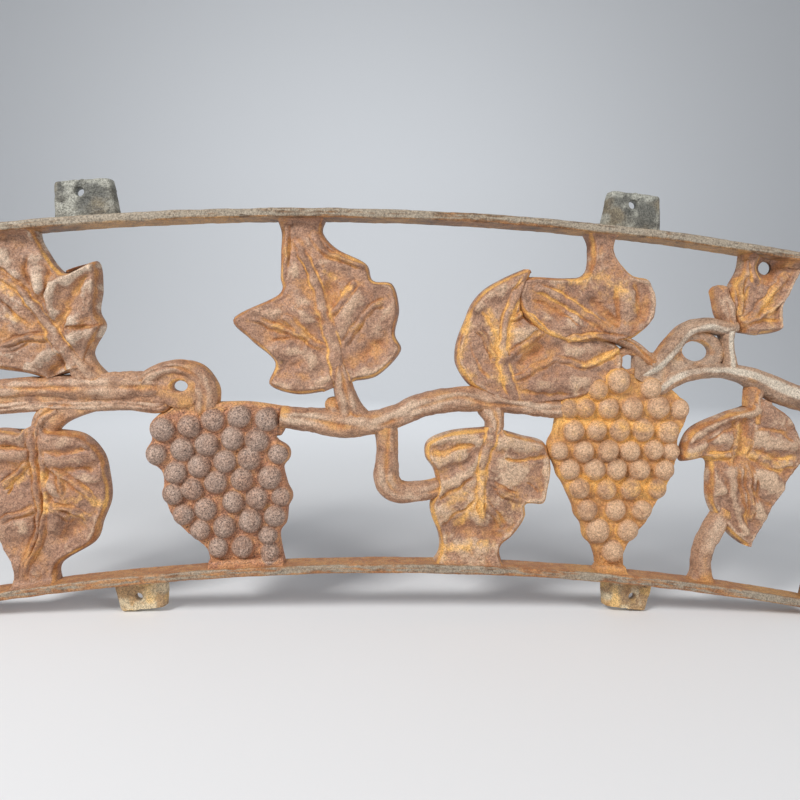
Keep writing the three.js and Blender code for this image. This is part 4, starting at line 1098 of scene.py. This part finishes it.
def leaf(name, seed):
    """A grid of ribs: t runs along the midrib, v from -1 on the left margin to 1 on the right.
    Depth is the edge's plus a crown over the middle, folds that follow the ribs, and the leaf's
    ornament, each a bell of the distance to its line, where the strongest of a kind counts; the
    margin drops as a quarter ellipse, and a low rim runs just inside it."""
    ribs = np.array(leaves[name], dtype=float)
    lift, relief, barer, rustier, yellower, bare_margin = leaf_tones[name]
    t = np.linspace(0, len(ribs) - 1, leaf_rows)
    v = np.sin(np.linspace(-np.pi / 2, np.pi / 2, leaf_columns))
    spine, left, right = (through(ribs[:, k:k + 2], t)[:, None] for k in (1, 3, 5))

    def rib_points(v):
        """Points at v on every rib, on the straight way from the midrib to the margin."""
        side = np.where(v[None, :, None] < 0, left, right)
        return spine + (side - spine) * np.abs(v)[None, :, None]

    plan = rib_points(v)
    s, h = plan[..., 0], plan[..., 1]
    edge = np.minimum(*(along_line(s, h, side[::3, 0])[0] for side in (left, right)))
    ragged = edge + 0.8 * lumps(s, h, 4.0, seed + 7)
    wander_s = s + stroke_wander * lumps(s, h, 7.0, seed + 8)
    wander_h = h + stroke_wander * lumps(s, h, 7.0, seed + 9)
    streaks = 0.6 + 0.4 * lumps(s, h, 3.0, seed + 11)
    veins, grooves, puffs, hollows, bloom, thin, lines = (np.zeros(s.shape) for field in range(7))
    for kind, strokes in ornament[name].items():
        for first_width, last_width, *listed in strokes:
            listed = np.reshape(listed, (-1, 2))
            line = through(listed, np.linspace(0, len(listed) - 1, 5 * len(listed)))
            gap, run = along_line(wander_s, wander_h, line)
            width = first_width + (last_width - first_width) * run
            fade = smoothstep(-0.08, 0.14, run) * smoothstep(1.08, 0.86, run)
            if kind == "vein":
                profile = fade * np.exp(-(gap / (width + 0.7)) ** 2.6)
                beside = fade * np.exp(-((gap - width - 1.7) / 1.0) ** 2)
                veins = np.maximum(veins, profile)
                thin = np.maximum(thin, profile * smoothstep(2.4, 1.5, width))
                grooves = np.maximum(grooves, 0.75 * beside)
                lines = np.maximum(lines, beside * smoothstep(1.2, 2.4, width))
            elif kind == "crease":
                grooves = np.maximum(grooves, fade * np.exp(-(gap / (width + 0.2)) ** 2))
            elif kind == "puff":
                puffs = np.maximum(puffs, np.exp(-(gap / (1.35 * width)) ** 2.4))
            elif kind == "hollow":
                hollows = np.maximum(hollows, np.exp(-(gap / (1.1 * width)) ** 2))
            else:
                bloom = np.maximum(bloom, 0.65 * streaks * np.exp(-(gap / (1.1 * width)) ** 2))
    patchy = 0.5 + 0.5 * lumps(s, h, 11.0, seed + 6)
    grooves = grooves * (1 - veins) * (0.35 + 0.65 * patchy)
    roll = np.sqrt(np.clip(1 - (1 - np.clip(edge / leaf_wall, 0, 1)) ** 2, 0, 1))
    swing = np.sin(np.pi / 2 * np.interp(t, np.arange(len(ribs)), ribs[:, 0])[:, None])
    reach = np.abs(v)[None, :]
    depth = leaf_edge + lift + leaf_crown * (1 - reach ** 2)
    depth = depth + leaf_fold * swing * np.sin(np.pi * reach ** 0.8)
    depth = depth + leaf_rim * np.exp(-((ragged - 4.6) / 1.9) ** 2)
    raised = np.maximum(vein_rise * veins, puff_rise * puffs * (1 - 0.4 * hollows))
    sunk = crease_fall * grooves + hollow_fall * hollows * (1 - puffs) * (1 - 0.5 * veins)
    depth = depth + relief * (raised - sunk)
    depth = depth + 0.9 * lumps(s, h, 9.0, seed) + 0.5 * lumps(s, h, 3.6, seed + 1)
    depth = depth + 0.28 * lumps(s, h, 1.6, seed + 2)
    proud = stands_proud(depth, 16) + 0.6 * stands_proud(depth, 4)
    depth = np.minimum(toe(h, np.maximum(depth, thinnest)), thickest)
    if name == "small_folded_leaf":
        beyond = np.hypot(s - neck_hole_at[0], h - neck_hole_at[1]) - neck_hole_radius
        funnel = funnel_depth + funnel_slope * np.maximum(beyond, 0) + 0.5 * lumps(s, h, 4.0, seed)
        depth = np.minimum(depth, funnel)
    thin_line = np.exp(-((edge - 2.2) / 1.1) ** 2)
    wall = smoothstep(3.4, 1.2, edge)
    # Where the surface stands proud of its neighbours it is painted paler, partly as rubbed wear
    # and partly as a painted highlight on ridges and puffs; where it lies low it takes more orange
    # rust.
    height = smoothstep(-1.6, 1.8, proud)
    rusty = 0.85 * grooves + 0.55 * (0.5 - height) + 0.3 * hollows + 0.85 * thin_line
    rusty = rusty + 0.5 * thin + 0.32 * lumps(s, h, 20.0, seed + 4) + 0.08 + rustier
    wear_and_highlight = 1.0 * (height - 0.5) - 0.22 * veins + 0.26 * lumps(s, h, 14.0, seed + 3)
    wear_and_highlight = wear_and_highlight + 0.08 + bare_margin * wall - 0.7 * thin_line - 0.5 * thin - 0.4 * grooves + barer
    bloom = bloom + 0.75 * thin_line * (0.5 + lumps(s, h, 18.0, seed + 5)) + 0.8 * lines * patchy
    bloom = bloom + (0.6 * grooves + 0.5 * thin) * (patchy - 0.1) + yellower * (0.3 + patchy)
    front = np.concatenate([plan, (depth * roll)[..., None]], axis=-1)
    marks = {"wear_and_highlight": wear_and_highlight, "rusty": rusty, "bloom": bloom}
    material = bleached_leaf_iron if name == "upper_left_leaf" else leaf_iron
    back = rib_points(np.linspace(1, -1, 9)[1:-1])
    casting(name, [backed(front, back, marks, rust=0.3)], material)


for order, name in enumerate(leaves):
    leaf(name, 500 + 10 * order)

# the hole in the small folded leaf's neck, just under the rail, goes right through
near, far = on_arch(np.array([[*neck_hole_at, -3.0], [*neck_hole_at, rail_depth + 2.0]]))
bpy.ops.mesh.primitive_cylinder_add(
    vertices=48, radius=neck_hole_radius / 1000, depth=float(np.linalg.norm(far - near)),
    location=(near + far) / 2, rotation=Vector(far - near).to_track_quat("Z", "Y").to_euler())
drill = bpy.context.object
pierced = bpy.data.objects["small_folded_leaf_casting"]
cut = pierced.modifiers.new("neck_hole", "BOOLEAN")
cut.object, cut.operation, cut.solver = drill, "DIFFERENCE", "EXACT"
pierced_now = pierced.evaluated_get(bpy.context.evaluated_depsgraph_get())
drilled = bpy.data.meshes.new_from_object(pierced_now)
pierced.modifiers.clear()
pierced.data = drilled
bpy.data.objects.remove(drill)


# ------------------------------------------------------------------ Stage
# A plain pale floor that curves up far behind, two soft lamps in front of the panel, and a third
# behind it that washes the backdrop.
floor_paint = bpy.data.materials.new("floor_paint")
floor_paint.use_nodes = True
paint = floor_paint.node_tree.nodes["Principled BSDF"]
paint.inputs["Base Color"].default_value = (0.80, 0.82, 0.85, 1.0)
paint.inputs["Roughness"].default_value = 0.9

floor_level = float(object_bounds()[0][2]) - 0.0005
half_width, front_edge, wall_starts, wall_curl, wall_top = 6.0, -4.0, 2.5, 1.5, 6.0
curl = np.linspace(0.1, np.pi / 2, 16)
back = np.concatenate([
    [front_edge, wall_starts], wall_starts + wall_curl * np.sin(curl), [wall_starts + wall_curl]])
rise = np.concatenate([[0.0, 0.0], wall_curl - wall_curl * np.cos(curl), [wall_top]])
corners = [(x, y, floor_level + z) for y, z in zip(back, rise) for x in (-half_width, half_width)]
faces = [(2 * i, 2 * i + 1, 2 * i + 3, 2 * i + 2) for i in range(len(back) - 1)]
floor_mesh = bpy.data.meshes.new("floor")
floor_mesh.from_pydata(corners, [], faces)
floor_mesh.shade_smooth()
floor_mesh.materials.append(floor_paint)
floor = bpy.data.objects.new("floor", floor_mesh)
bpy.context.collection.objects.link(floor)


def lamp(name, place, target, size, power, colour):
    """A rectangular soft lamp at a place, turned to its target."""
    data = bpy.data.lights.new(name, "AREA")
    data.shape = "RECTANGLE"
    data.size, data.size_y = size
    data.energy = power
    data.color = colour
    light = bpy.data.objects.new(name, data)
    light.location = place
    light.rotation_euler = (Vector(target) - Vector(place)).to_track_quat("-Z", "Y").to_euler()
    bpy.context.collection.objects.link(light)


lamp("left_softbox", (-1.2, -1.15, 1.35), (0.0, 0.0, 0.15), (0.7, 0.5), 34.0, (1.0, 0.98, 0.95))
lamp("backdrop_wash", (0.0, 1.0, 1.7), (0.0, 4.0, 0.6), (2.4, 0.4), 30.0, (0.97, 0.99, 1.0))
lamp("right_softbox", (1.4, -1.2, 1.0), (0.0, 0.0, 0.15), (0.9, 0.7), 13.0, (1.0, 0.99, 0.97))

world = bpy.data.worlds.new("studio")
world.use_nodes = True
sky = world.node_tree.nodes["Background"]
sky.inputs["Color"].default_value = (0.95, 0.97, 1.0, 1.0)
sky.inputs["Strength"].default_value = 0.30
bpy.context.scene.world = world
bpy.context.scene.view_settings.view_transform = "Standard"
